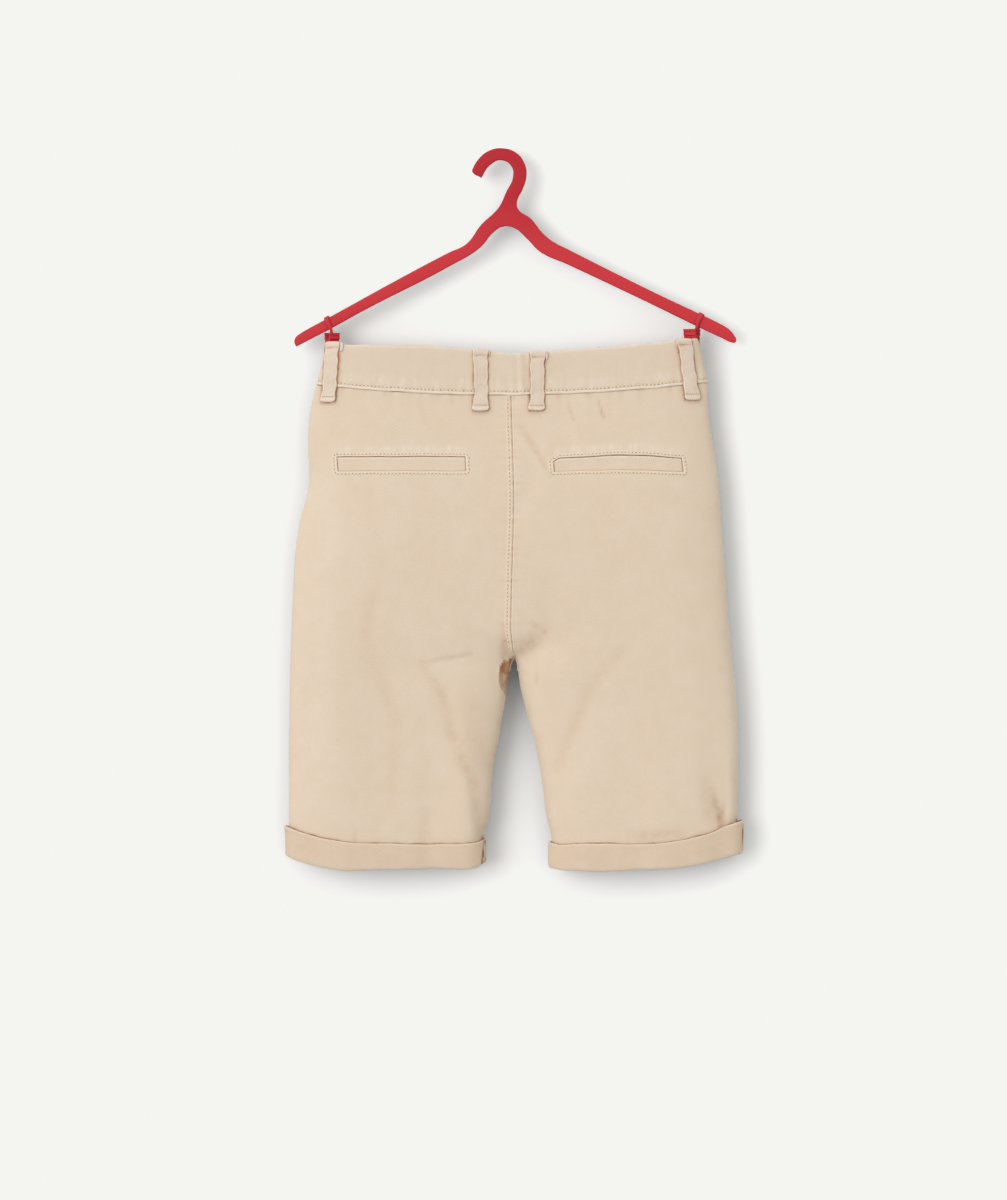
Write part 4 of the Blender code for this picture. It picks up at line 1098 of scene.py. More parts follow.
# %% [markdown]
# ## Waistband
# A straight strip of doubled twill with interfacing. Its lower edge is folded under, so it rolls over
# the top of the panels as a pale round ridge with its topstitching above. Puckers run up from the
# stitches, and the strip between the two middle loops is gathered.

# %% Section of the waistband
# In the wear column, the dark rows at the lower edge and in the stitch groove are painted shade.
BAND_PROFILE = [  # distance above the lower edge, lift of the face, lift of the back, wear
    (-0.3, 0.1, 0.0, -0.7),
    (-0.1, 0.45, 0.02, -0.3),
    (0.3, 0.72, 0.05, 0.4),
    (0.9, 0.85, 0.05, 0.8),
    (1.5, 0.84, -1.2, 0.8),
    (2.1, 0.74, -1.2, 0.2),
    (2.6, 0.66, -1.2, -0.12),
    (3.0, 0.64, -1.2, -0.16),
    (3.5, 0.72, -1.2, -0.05),
    (4.2, 0.86, -1.2, 0.1),
    (5.0, 0.92, -1.2, 0.15),
    (8.0, 0.88, -1.2, 0.1),
    (13.0, 0.85, -1.2, 0.0),
    (20.0, 0.85, -1.2, 0.0),
    (30.0, 0.85, -1.2, 0.0),
    (34.0, 0.8, -1.2, 0.05),
    (35.4, 0.6, -1.2, 0.3),
    (36.2, 0.2, -1.0, 0.45),
    (36.5, -0.2, -0.4, 0.2),
]
BAND_HEIGHT = WAIST_TOP - WAIST_SEAM
BAND_COLUMN, BAND_ROW = 1.5, 1.8     # steps between them
print("waistband", BAND_HEIGHT, "mm high")


# %% Build the waistband in three lengths
def band_columns(x_from, x_to):
    """Half and share of each column of a length of waistband, from left to right."""
    turns = np.linspace(0.0, 1.0, 1600)
    reach = rounded_side(turns, TORSO_CORNER)[0]
    found = []
    for half in (-1, 1):
        side = SIDE_SEAM[half](WAIST_SEAM)
        ends = [float(np.interp((end - side) / (CENTRE_X - side), reach, turns)) for end in (x_from, x_to)]
        low, high = (ends[0], 1.0) if half < 0 else (ends[1], 1.0 if x_from < CENTRE_X else ends[0])
        if (half < 0 and x_from >= CENTRE_X) or high - low < 1e-6:
            continue
        shares = stops(low, high, BAND_COLUMN / PANEL_WIDTH, [0.4 * d / PANEL_WIDTH for d in FINE])
        found += [(half, share) for share in (shares if half < 0 else shares[::-1])]
    return [c for k, c in enumerate(found) if not (c == (1, 1.0) and k and found[k - 1][1] == 1.0)]


def band_wobble(layer, x):
    """How far the band's lower edge strays from its even line."""
    return 0.35 * ripple(x, 4.0 + layer, (23.0, 37.0, 61.0))


def make_band(name, layer, x_from, x_to):
    above = np.array([row[0] for row in BAND_PROFILE])
    rises = stops(above[0], BAND_HEIGHT, BAND_ROW, above)[::-1]
    lift, back, wear_and_shade = (np.interp(rises, above, [row[k] for row in BAND_PROFILE])[:, None] for k in (1, 2, 3))
    columns = band_columns(x_from, x_to)
    half = np.array([c[0] for c in columns])
    share = np.array([c[1] for c in columns])
    way = rounded_side(share, TORSO_CORNER)[0]
    drop = (1 - rises / BAND_HEIGHT)[:, None]
    height = WAIST_TOP + (WAIST_SEAM - WAIST_TOP) * drop
    for _ in range(ROW_PASSES):
        side = np.where(half < 0, SIDE_SEAM[-1](height), SIDE_SEAM[1](height))
        x = side + (CENTRE_X - side) * way
        top = top_line(x) + 0.25 * ripple(x, 9.0 + layer, (17.0, 29.0, 41.0))
        bottom = WAIST_SEAM + waist_line(x, SEAM_TILT) + SEAM_GAP / 2
        z = top + (bottom - top) * drop + band_wobble(layer, x) * ramp(drop, 0.0, 1.0)
        height = level_of(x, z)
    base = torso_points(layer, x, z)
    hold = np.ones_like(base)
    hold[[0, -1], :, 2] = 0
    for column in (0, -1):
        if share[column] == 0:
            hold[:, column, 1] = 0
            base[:, column, 1] = SEAM_PLANE + layer * SEAM_GAP / 2
        else:
            hold[:, column, 0] = 0
    normals = outward(base, layer, hold)
    up = rises[:, None]
    clear = ramp(up, 0.6, 2.6)
    pull = ripple(x, 6.0 + layer, (6.1, 9.3, 15.7)) * np.exp(-np.maximum(up - 2.0, 0) / 6.0) * clear
    gather = bump_at(x, CENTRE_X + 9.0, 8.5) * (0.75 if layer < 0 else 0.0)
    tucks = gather * np.sin(2 * math.pi * (x + 0.05 * up) / 8.2 + 1.0)
    pinch = tucks * (0.7 + 0.3 * np.cos(up / 7.0)) * clear
    slack = 0.28 * soft_waves(x, 2.2 * up, 5.0 + layer) * ramp(up, 2.0, 9.0)
    rubbed = np.clip(ripple(x, 1.0 + layer, (4.9, 8.3, 23.0)), 0, 1) * bump_at(up, 10.0, 4.0)
    face = lift + 0.30 * pull + pinch + slack
    shade = wear_and_shade + 0.30 * pull + 0.25 * pinch + 0.15 * slack + 0.35 * rubbed + painted_loop_shade(layer, x, z)
    if share[0] > 0 or share[-1] > 0:                # one end is cut, not sewn into a side seam
        ends = np.minimum(np.abs(x - x[:, :1]), np.abs(x - x[:, -1:]))
        face = face - 0.5 * np.exp(-ends / 0.7)
        # The cut end's edge is painted dark, as painted shade in its gap.
        shade = shade + 0.6 * bump_at(ends, 1.2, 0.7) - 0.6 * np.exp(-ends / 0.4)
    outer = base + normals * face[..., None]
    inner = base + normals * np.minimum(back, face - 0.05)[..., None]
    return cloth_wall(name, outer, inner, shade, TWILL_BAND)


FRONT_OVERLAP = 16.0
FAR = 500.0              # past any side seam
split = CENTRE_X + FRONT_OVERLAP
for band in (
    make_band("cloth_waistband_back", -1, -FAR, FAR),
    make_band("cloth_waistband_front_left", 1, -FAR, split),
    make_band("cloth_waistband_front_right", 1, split + SEAM_GAP, FAR),
):
    print(band.name, round(band.dimensions.x / MM), "mm wide")

# %% [markdown]
# ## Belt loops
# A loop is a strip of twill folded in three. Each end is folded under and bar-tacked, so the ends
# are wider and thicker than the middle, which stands off the waistband to let a belt through. At the
# upper end a corner of the fold pokes out on one side.

# %% Rows of a belt loop
# In the wear column, the dark rows at the bar tacks and at the lower end are painted shade.
LOOP_ROWS = [  # distance from the top, flare, clearance behind, thickness, wear
    (0.0, 0.7, 0.1, 0.8, 0.2),
    (0.6, 1.0, 0.1, 1.3, 0.4),
    (1.4, 1.1, 0.1, 1.6, 0.3),
    (2.8, 1.1, 0.1, 1.7, 0.1),
    (4.2, 1.0, 0.1, 1.6, 0.0),
    (5.0, 0.9, 0.1, 1.4, -0.35),
    (5.8, 0.7, 0.1, 1.5, 0.0),
    (7.0, 0.5, 0.1, 1.4, 0.15),
    (9.0, 0.3, 0.2, 1.3, 0.1),
    (13.0, 0.1, 0.3, 1.2, 0.1),
    (20.0, 0.0, 0.4, 1.1, 0.0),
    (28.0, 0.0, 0.4, 1.1, 0.1),
    (34.0, -0.1, 0.3, 1.1, 0.05),
    (38.0, -0.1, 0.2, 1.2, 0.15),
    (42.0, 0.3, 0.2, 1.3, 0.1),
    (45.4, 0.9, 0.1, 1.4, 0.15),
    (46.3, 1.1, 0.1, 1.2, -0.4),
    (47.1, 1.2, 0.1, 1.4, 0.1),
    (48.2, 1.4, 0.1, 1.6, 0.6),
    (49.4, 1.3, 0.1, 1.5, 0.65),
    (50.3, 1.0, 0.1, 1.2, 0.1),
    (50.8, 0.6, 0.1, 0.8, -0.6),
]
LOOP_ACROSS = (0.0, 0.2, 0.4, 0.6, 0.74, 0.84, 0.91, 0.96, 0.99, 1.0)
EAR_TOP = 0.6
EAR_LENGTH = 5.2
print("belt loops", LOOP_ROWS[-1][0], "mm long")


# %% Strip and ear of a belt loop
def loop_place(node, down, offset):
    """Points on the band under a loop, at a distance from its top and an offset from its middle."""
    layer, top_x, bottom_x, rise, _, _, _ = LOOPS[node]
    top = top_line(top_x) + rise
    bottom = WAIST_SEAM + waist_line(bottom_x, SEAM_TILT) - LOOP_BELOW_SEAM
    way = down / LOOP_ROWS[-1][0]
    return torso_points(layer, top_x + (bottom_x - top_x) * way + offset, top + (bottom - top) * way)


def raised(layer, ends, face, back):
    """Outer and inner grid of a strip that lies on a row of points, lifted square to its width."""
    run = ends[:, -1] - ends[:, 0]
    out = np.stack([run[:, 1], -run[:, 0], np.zeros(len(run))], axis=-1)
    out *= (layer * np.sign(out[:, 1]) / np.linalg.norm(out, axis=-1))[:, None]
    base = ends + out[:, None] * BAND_PROUD
    return base + out[:, None] * face[..., None], base + out[:, None] * back[..., None]


def loop_strip(node):
    """Outer grid, inner grid and wear of a loop."""
    layer, top_x, _, _, flare, _, _ = LOOPS[node]
    table = np.array(LOOP_ROWS)
    down = stops(0.0, table[-1, 0], 0.9, table[:, 0])[:, None]
    flared, clear, thick, fade = (np.interp(down, table[:, 0], table[:, k]) for k in range(1, 5))
    across = np.array([-a for a in LOOP_ACROSS[:0:-1]] + list(LOOP_ACROSS))
    outwards = np.abs(across)
    seed = abs(top_x) / 7.0
    sides = [0.8 * ripple(down, seed + k, (11.0, 19.0, 37.0)) for k in (0.0, 3.0)]
    wander = sides[0] + (sides[1] - sides[0]) * (across + 1) / 2
    offset = across * (LOOP_WIDTH / 2 + flare * flared) + wander
    rounding = 1.3 * outwards**5 * ramp(down, 46.0, 50.8) - 0.8 * outwards**5 * ramp(down, 4.0, 0.0)
    ends = loop_place(node, down, offset)
    ends[..., 2] += rounding
    edge = np.sqrt(np.clip(1 - outwards**7, 0, 1))
    rims = 0.20 * bump_at(outwards, 0.84, 0.07) - 0.16 * bump_at(outwards, 0.66, 0.07)
    folds = 0.5 * ripple(down, seed + 2.0, (7.7, 12.0, 19.0)) * across
    dents = 0.3 * soft_waves(5 * offset, 3 * down, seed) * ramp(down, 5.0, 9.0) * ramp(down, 47.0, 42.0)
    face = clear + thick * (0.25 + 0.75 * edge) + rims + (folds + dents) * edge
    outer, inner = raised(layer, ends, face, clear + thick * 0.25 * (1 - edge))
    wear_and_shade = fade + 0.5 * bump_at(outwards, 0.84, 0.07) - 0.2 * bump_at(outwards, 0.68, 0.08)
    # The outermost strip of each edge is painted dark, as painted shade where the loop's edge turns under.
    wear_and_shade = wear_and_shade - 1.1 * ramp(outwards, 0.93, 1.0) + 0.25 * soft_waves(4 * offset, 3 * down, seed)
    wear_and_shade = wear_and_shade - 0.5 * bump_at(down + 1.5 * across, 5.0, 0.6) * bump_at(across, -0.3, 0.5)
    return outer, inner, wear_and_shade


def loop_ear(node):
    """The same of the corner of the fold that pokes out beside a loop."""
    layer, _, _, _, flare, ear, ear_side = LOOPS[node]
    drop = np.linspace(0.0, 1.0, 13)[:, None]
    across = np.linspace(0.0, 1.0, 8)
    width = ear * np.sqrt(np.clip(1 - (2 * drop - 1) ** 4, 0.03, 1))
    offset = ear_side * (LOOP_WIDTH / 2 + flare * 0.8 - 0.2 + width * across)
    down = EAR_TOP + (EAR_LENGTH + ear) * drop + 0 * across
    domes = [np.sqrt(np.clip(1 - (2 * way - 1) ** power, 0, 1)) for way, power in ((across, 4), (drop, 6))]
    # The side of the ear next to the loop is painted dark, as painted shade in the gap between them.
    wear_and_shade = 0.7 * bump_at(across, 0.6, 0.3) - 1.5 * ramp(across, 0.25, 0.0) + 0 * drop
    grids = (loop_place(node, down, offset), domes[0] * domes[1], wear_and_shade)
    place, dome, wear_and_shade = (grid[:, ::ear_side] for grid in grids)
    return *raised(layer, place, 0.3 + 1.7 * dome, 0 * dome), wear_and_shade


print("grid of an ear:", loop_ear("belt_loop_back_left")[0].shape[:2])


# %% Build the belt loops
def make_belt_loop(node):
    parts = []
    for name, (outer, inner, wear_and_shade) in (("cloth_" + node, loop_strip(node)), ("ear", loop_ear(node))):
        parts.append(cloth_wall(name, outer, inner, wear_and_shade, TWILL_LOOP))
    loop = parts[0]
    shape = bmesh.new()
    for part in parts:
        shape.from_mesh(part.data)
    shape.to_mesh(loop.data)
    shape.free()
    bpy.data.objects.remove(PIECES.pop("ear"))
    return loop


for node in LOOPS:
    loop = make_belt_loop(node)
    print(loop.name, [round(d / MM) for d in loop.dimensions])

# %% [markdown]
# ## Welt pockets
# The welt is a folded strip that fills the window and leaves the mouth open along its upper edge. It
# lies a little behind the panel, so the window's edge shades it. Its own folded upper edge is round
# and pale. Its mouth, its tucked edges and its ends are painted dark as well, as painted shade.

# %% Build the welts
TUCKED = 1.2             # how far a welt's edges reach under the panel
TUCK_DEPTH = 1.7
WELT_ENDS = (0.1, 0.4, 0.9, 1.5, 2.3)    # columns beside the ends of the window
WELT_STEP = 1.6
# In the wear column, the dark rows in the mouth and under the panel's edge are painted shade.
WELT_ROWS = [  # share of the welt's height, extra z, lift, wear
    (0.0, -TUCKED, -1.7, -0.6),
    (0.0, -0.1, -1.0, -0.3),
    (0.0, 0.1, -0.5, -0.2),
    (0.0, 0.5, -0.42, -0.05),
    (0.15, 0.0, -0.55, 0.0),
    (0.3, 0.0, -0.55, 0.0),
    (0.45, 0.0, -0.52, 0.0),
    (0.6, 0.0, -0.5, 0.0),
    (0.75, 0.0, -0.45, 0.0),
    (1.0, -1.8, -0.32, 0.1),
    (1.0, -1.1, -0.2, 0.5),
    (1.0, -0.6, -0.22, 0.6),
    (1.0, -0.2, -0.4, 0.3),
    (1.0, 0.0, -0.6, -0.3),
    (1.0, 0.15, -0.95, -1.0),
    (1.0, 1.6, -1.55, -1.0),
    (1.0, 4.0, -2.2, -0.7),
]


def make_welt(side, half):
    """A folded strip in the window. Its edges are tucked under, and its bag runs on up behind the mouth."""
    left, right = POCKETS[half][:2]
    marks = [left, right, *[left + d for d in WELT_ENDS], *[right - d for d in WELT_ENDS]]
    column = stops(left - TUCKED, right + TUCKED, WELT_STEP, marks)
    share, extra, lift, wear_and_shade = (np.array(WELT_ROWS)[::-1, k][:, None] for k in range(4))
    upper, lower = pocket_edges(half, column)
    way = np.clip((column - left) / (right - left), 0, 1)
    mouth = POCKET_MOUTH + MOUTH_GAPE[half] * np.sin(math.pi * way) ** 2
    z = lower + (upper - mouth - lower) * share + extra
    x = on_column(half, column, z)
    base = torso_points(-1, x, z)
    inside = np.minimum(column - left, right - column)
    tucked = ramp(inside, 0.3, -0.3)
    rounded = lift - 0.20 * np.exp(-np.maximum(inside, 0) / 0.8)
    lift = np.minimum(rounded, lift * (1 - tucked) - TUCK_DEPTH * tucked)
    waves = 0.18 * ripple(x, 8.0 + half, (13.0, 23.0, 37.0)) * share + 0.15 * soft_waves(3 * x, 3 * z, 2.0)
    lift = lift + waves * (lift > -0.9)
    # The welt's ends are painted dark, as painted shade in the slits beside them.
    wear_and_shade = wear_and_shade - 0.9 * bump_at(np.maximum(inside, 0), 0.0, 0.45)
    outer = base.copy()
    outer[..., 1] -= lift
    inner = outer + np.array([0.0, CLOTH, 0.0])
    return cloth_wall(f"cloth_pocket_welt_{side}", outer, inner, wear_and_shade, TWILL)


for side, half in HALVES.items():
    welt = make_welt(side, half)
    print(welt.name, [round(d / MM) for d in welt.dimensions])

# %% [markdown]
# ## Turned-up hems
# Each leg's hem is turned up twice and pressed. It is a ring with a U-shaped section that holds the
# leg's raw edge. The ring stands a millimetre or two off the leg, unevenly, so a dark line shows
# above it; the ply in that gap is also painted dark, as painted shade. Its upper fold is pale with wear.

# %% Edges of the turned-up hems
CUFF_FLARE = {-1: 1.5, 1: 3.4}
CUFF_RETURN = 10.0
CUFF_TOP = {  # x and z of the upper edge, from left to right
    -1: ((-184.0, -557.6), (-179.0, -559.8), (-174.0, -562.2), (-168.6, -564.5), (-153.1, -569.4),
         (-136.3, -572.4), (-117.2, -574.1), (-94.3, -574.4), (-66.0, -575.1), (-40.0, -574.8),
         (-20.7, -574.0), (-14.3, -570.4), (-11.5, -567.0)),
    1: ((40.0, -571.5), (44.7, -575.8), (62.7, -574.6), (88.0, -574.4), (114.0, -575.3), (140.0, -573.3),
        (159.1, -570.3), (178.4, -564.6), (186.2, -560.0), (193.0, -558.0), (198.0, -555.0), (203.0, -551.6)),
}
CUFF_BOTTOM = {
    -1: ((-182.0, -583.0), (-173.7, -588.4), (-155.7, -593.6), (-131.3, -597.5), (-104.4, -596.4),
         (-80.0, -596.0), (-53.2, -595.2), (-27.1, -596.3), (-18.1, -593.7), (-13.0, -588.0)),
    1: ((41.0, -594.3), (47.3, -596.4), (82.0, -598.1), (114.0, -596.4), (147.6, -595.6), (177.8, -589.7),
        (197.6, -583.4), (202.9, -580.8)),
}
CUFF_PINCH = {-1: 0.8, 1: 0.1}     # share of the flare that is gone at the lower edge
CUFF_SLIT_WIDTH = {-1: 0.7, 1: 0.45}
CUFF_SLIT = {  # x at the lower edge, lean, upper end and lower end of the slit where the hem's ends meet
    -1: (-15.6, 0.10, -566.0, -593.0),
    1: (202.6, 0.03, -560.5, -575.0),
}


def cuff_edges(half, way):
    """Z of a hem's upper and lower edge at a way across the leg from the side seam."""
    side, inner = SIDE_SEAM[half](-580.0), INSEAM[half](-580.0)
    x = side + (inner - side) * way
    found = []
    for table, edge in ((CUFF_TOP[half], "top"), (CUFF_BOTTOM[half], "bottom")):
        xs, zs = np.array(table).T
        smooth = sum(np.interp(x + d, xs, zs) for d in (-5, -2.5, 0, 2.5, 5)) / 5
        found.append(smooth + 0.35 * ripple(x, 3.0 + len(edge), (23.0, 41.0, 67.0)))
    return found


print("hems", [round(float(np.subtract(*cuff_edges(half, 0.5))), 1) for half in (-1, 1)], "mm high")


# %% Section of a turned-up hem
HEM_FACE = slice(5, 14)  # points of the section on its outer face
HEM_LOW = 12             # the first that is measured from the lower edge
HEM_INSIDE = 20          # the first inside the leg
HEM_STEP = 1.6
HEM_CROWD = 400.0        # FINE as a share of this lies 2.4 times as close as on a panel
HEM_BACK = -CLOTH - 0.4  # where the hem's cloth starts inside the leg


def hem_section(half, layer, part):
    """Way out, height, and wear with painted shade, of the section's points at shares of one layer's width.
    """
    way = rounded_leg(part)[0]
    top, bottom = (edge[:, None] for edge in cuff_edges(half, way))
    wave = ripple(part * PANEL_WIDTH, 3.0 * half + layer, (31.0, 53.0, 83.0))
    flare = (CUFF_FLARE[half] * np.clip(1 - way / 0.15, 0, 1) ** 2)[:, None]
    stand = np.maximum(0.9 + 0.45 * wave, 0.45)[:, None] + flare
    ply = 0.65 + 0.45 * ripple(part * PANEL_WIDTH, 5.0 * half, (11.0, 27.0, 61.0))[:, None]
    pinch = CUFF_PINCH[half] * flare
    face = stand + CUFF_CLOTH
    under = face - pinch
    # In the wear column, the -1 rows at the top and the dark rows inside the leg are painted shade.
    rows = [  # way out, height, wear
        (stand, top - 1.2, -1.0),
        (stand, top + ply, -1.0),
        (stand + 0.5, top + (ply + 0.1), -1.0),
        (stand + 0.7, top + 0.1, -0.6),
        (face - 0.5, top + 0.15, 0.5),
        (face - 0.12, top - 0.3, 0.6),
        (face, top - 0.8, 0.35),
        (face - 0.05, top - 1.6, 0.1),
        (face - 0.1 - 0.4 * pinch, top - 3.0, 0.0),
        (face - 0.8 * pinch, top - 6.0, 0.0),
        (face + 0.1 - pinch, top - 10.0, 0.0),
        (face + 0.1 - pinch, top - 14.0, 0.0),
        (under, bottom + 3.4, 0.1),
        (under - 0.15, bottom + 2.2, 0.15),
        (under - 0.5, bottom + 1.2, 0.3),
        (under - 1.0, bottom + 0.5, 0.4),
        (under - 1.7, bottom + 0.12, 0.3),
        (stand * 0.5 - 0.4, bottom, 0.1),
        (HEM_BACK - 0.2, bottom + 0.2, 0.0),
        (HEM_BACK - 0.8, bottom + 0.8, 0.0),
        (HEM_BACK - CLOTH, bottom + 2.0, 0.0),
        (HEM_BACK - CLOTH, bottom + CUFF_RETURN, -0.2),
        (HEM_BACK, bottom + CUFF_RETURN, -0.2),
        (HEM_BACK, bottom + 2.5, -0.5),
        (HEM_BACK, bottom + 2.3, -0.5),
        (stand, bottom + 2.3, -0.8),
    ]
    columns = [np.concatenate([0 * top + row[k] for row in rows], axis=1) for k in range(3)]
    return np.stack(columns, axis=-1)


print("points round a hem's section:", hem_section(-1, -1, np.array([0.5])).shape[1])


# %% Build the turned-up hems
def ring_faces(count, size):
    """Quads over closed loops of a size that follow each other round a ring."""
    index = np.arange(count * size).reshape(count, size)
    ahead, beside = np.roll(index, -1, axis=0), np.roll(index, -1, axis=1)
    return np.stack([index, beside, np.roll(ahead, -1, axis=1), ahead], axis=-1).reshape(-1, 4).tolist()


def hem_ends(half, loops, section):
    """The slit between the hem's ends and the frayed cloth beside it, from 0 to 1."""
    x, z = loops[..., 0], section[..., 1]
    slit_x, lean, slit_top, slit_end = CUFF_SLIT[half]
    away = x - slit_x - lean * (z - z[:, HEM_LOW:HEM_LOW + 1])
    shown = (loops[..., 1] < SEAM_PLANE) * (np.arange(loops.shape[1]) < HEM_INSIDE)
    slit = bump_at(away, 0.0, CUFF_SLIT_WIDTH[half]) * shown
    slit *= ramp(z, slit_end - 1.5, slit_end + 1.5) * ramp(z, slit_top + 1.5, slit_top - 1.5)
    return slit, ramp(away, 0.2, 0.6) * (slit_x < 0) * shown


def make_turn_up(name, half):
    marks = [d / HEM_CROWD for d in FINE]
    shares = stops(0.0, 1.0, HEM_STEP / PANEL_WIDTH, marks + [1 - mark for mark in marks])
    paths, sections = [], []
    for layer, part in ((-1, shares), (1, shares[-2:0:-1])):
        section = hem_section(half, layer, part)
        rise = edge_line(half, "bottom", rounded_leg(part)[0])[:, None] - CUFFS[half]["bottom"][0]
        path = body_points(half, layer, part[:, None], section[..., 1] - rise)
        waves = soft_waves(path[:, HEM_FACE, 0], 2 * section[:, HEM_FACE, 1], 4.0 * half + layer)
        section[:, HEM_FACE, 0] += 0.3 * waves
        paths.append(path)
        sections.append(section)
    section, path = np.concatenate(sections), np.concatenate(paths)
    path[[0, len(shares) - 1], :, 1] = SEAM_PLANE
    tangent = np.roll(path, -1, axis=0) - np.roll(path, 1, axis=0)
    out = np.stack([tangent[..., 1], -tangent[..., 0], np.zeros(path.shape[:2])], axis=-1)
    out *= np.sign(((path - path.mean(axis=0)) * out)[..., :2].sum())
    out = unit(out)
    loops = path + out * section[..., :1]
    slit, frayed = hem_ends(half, loops, section)
    serging = np.sin(2 * math.pi * section[..., 1] / 1.9)
    loops = loops - out * (1.5 * slit + frayed * (0.7 + 0.2 * serging))[..., None]
    # The slit where the hem's ends meet is painted dark, as painted shade.
    wear_and_shade = section[..., 2] + (frayed * (0.7 * serging - 0.5) - 1.8 * slit)
    loops[..., 2] = section[..., 1]
    face = loops[:, 8]
    along = np.cumsum(np.linalg.norm(np.diff(face, axis=0, prepend=face[:1]), axis=-1))
    down = np.cumsum(np.linalg.norm(np.diff(loops, axis=1, prepend=loops[:, :1]), axis=-1), axis=1)
    uv = np.stack([np.broadcast_to(along[:, None], down.shape), down], axis=-1).reshape(-1, 2) * MM
    faces = ring_faces(*loops.shape[:2])
    return finish_mesh(name, loops.reshape(-1, 3), faces, uv, wear_and_shade, TWILL_CUFF)


for side, half in HALVES.items():
    hem = make_turn_up(f"cloth_cuff_{side}", half)
    print(hem.name, len(hem.data.polygons), "faces")

# %% [markdown]
# ## Fly
# The fly's facing lies on the left front panel beside the centre seam. Its lower end curves in to the
# seam, and a row of topstitching follows its edge.

# %% Build the fly
FLY_WIDTH = 34.0
FLY_LENGTH = 122.0
FLY_CURVE = 36.0
FLY_CLOTH = 1.0
FLY_STITCH = 4.0         # from its edge to its topstitching
FLY_EDGE = CENTRE_X - SEAM_GAP
FLY_TOP = WAIST_SEAM - SEAM_GAP


def fly_width(drop):
    """Width of the fly at a distance below its top."""
    low = np.clip((drop - FLY_LENGTH + FLY_CURVE) / FLY_CURVE, 0.0, 1.0)
    return FLY_WIDTH * np.sqrt(1 - low**2)


straight = np.linspace(0, FLY_LENGTH - FLY_CURVE, 44)
turn = np.radians(np.linspace(3, 88, 40))
drops = np.concatenate([straight, FLY_LENGTH - FLY_CURVE * (1 - np.sin(turn))])[:, None]
across = stops(0.0, 1.0, 0.05, (0.02, 0.05, 0.09, 0.12, 0.16, 0.95, 0.98))
x = FLY_EDGE - fly_width(drops) * (1 - across)
z = FLY_TOP - drops + waist_line(x, SEAM_TILT)
base = torso_points(1, x, z)
from_edge = fly_width(drops) * across
stitched = bump_at(from_edge, FLY_STITCH, 0.7)
uneven = 0.15 * ripple(z, 7.0)
face = SEAM_GAP + FLY_CLOTH + 0.15 * bump_at(from_edge, 1.5, 1.0) - 0.3 * stitched + uneven
# The fly's edge is painted dark, as painted shade along its fold, and the stitch line a little.
wear_and_shade = 0.6 * bump_at(from_edge, 1.0, 0.9) - 0.5 * stitched - 0.8 * np.exp(-from_edge / 0.5) + uneven
outer, inner = base.copy(), base.copy()
outer[..., 1] += face - 0.6 * np.exp(-from_edge / 0.5)
inner[..., 1] += SEAM_GAP
cloth_wall("cloth_fly_facing", outer, inner, wear_and_shade, TWILL)
print("fly", FLY_LENGTH, "mm long")

# %% [markdown]
# ## Topstitching
# A stitch is a short piece of thread, and there are hundreds, all alike. So Geometry Nodes place
# them: a line on the cloth is measured out at one stitch's pitch, and a small grain of thread is laid
# at each point along the line. The tree stores how near each end of the stitch is to its needle hole,
# and the thread's colour paints those ends dark, as painted shade.

# %% Stitch tree
PITCH = 3.2 * MM
STITCH = 3.1 * MM
THREAD_WIDTH = 1.0 * MM


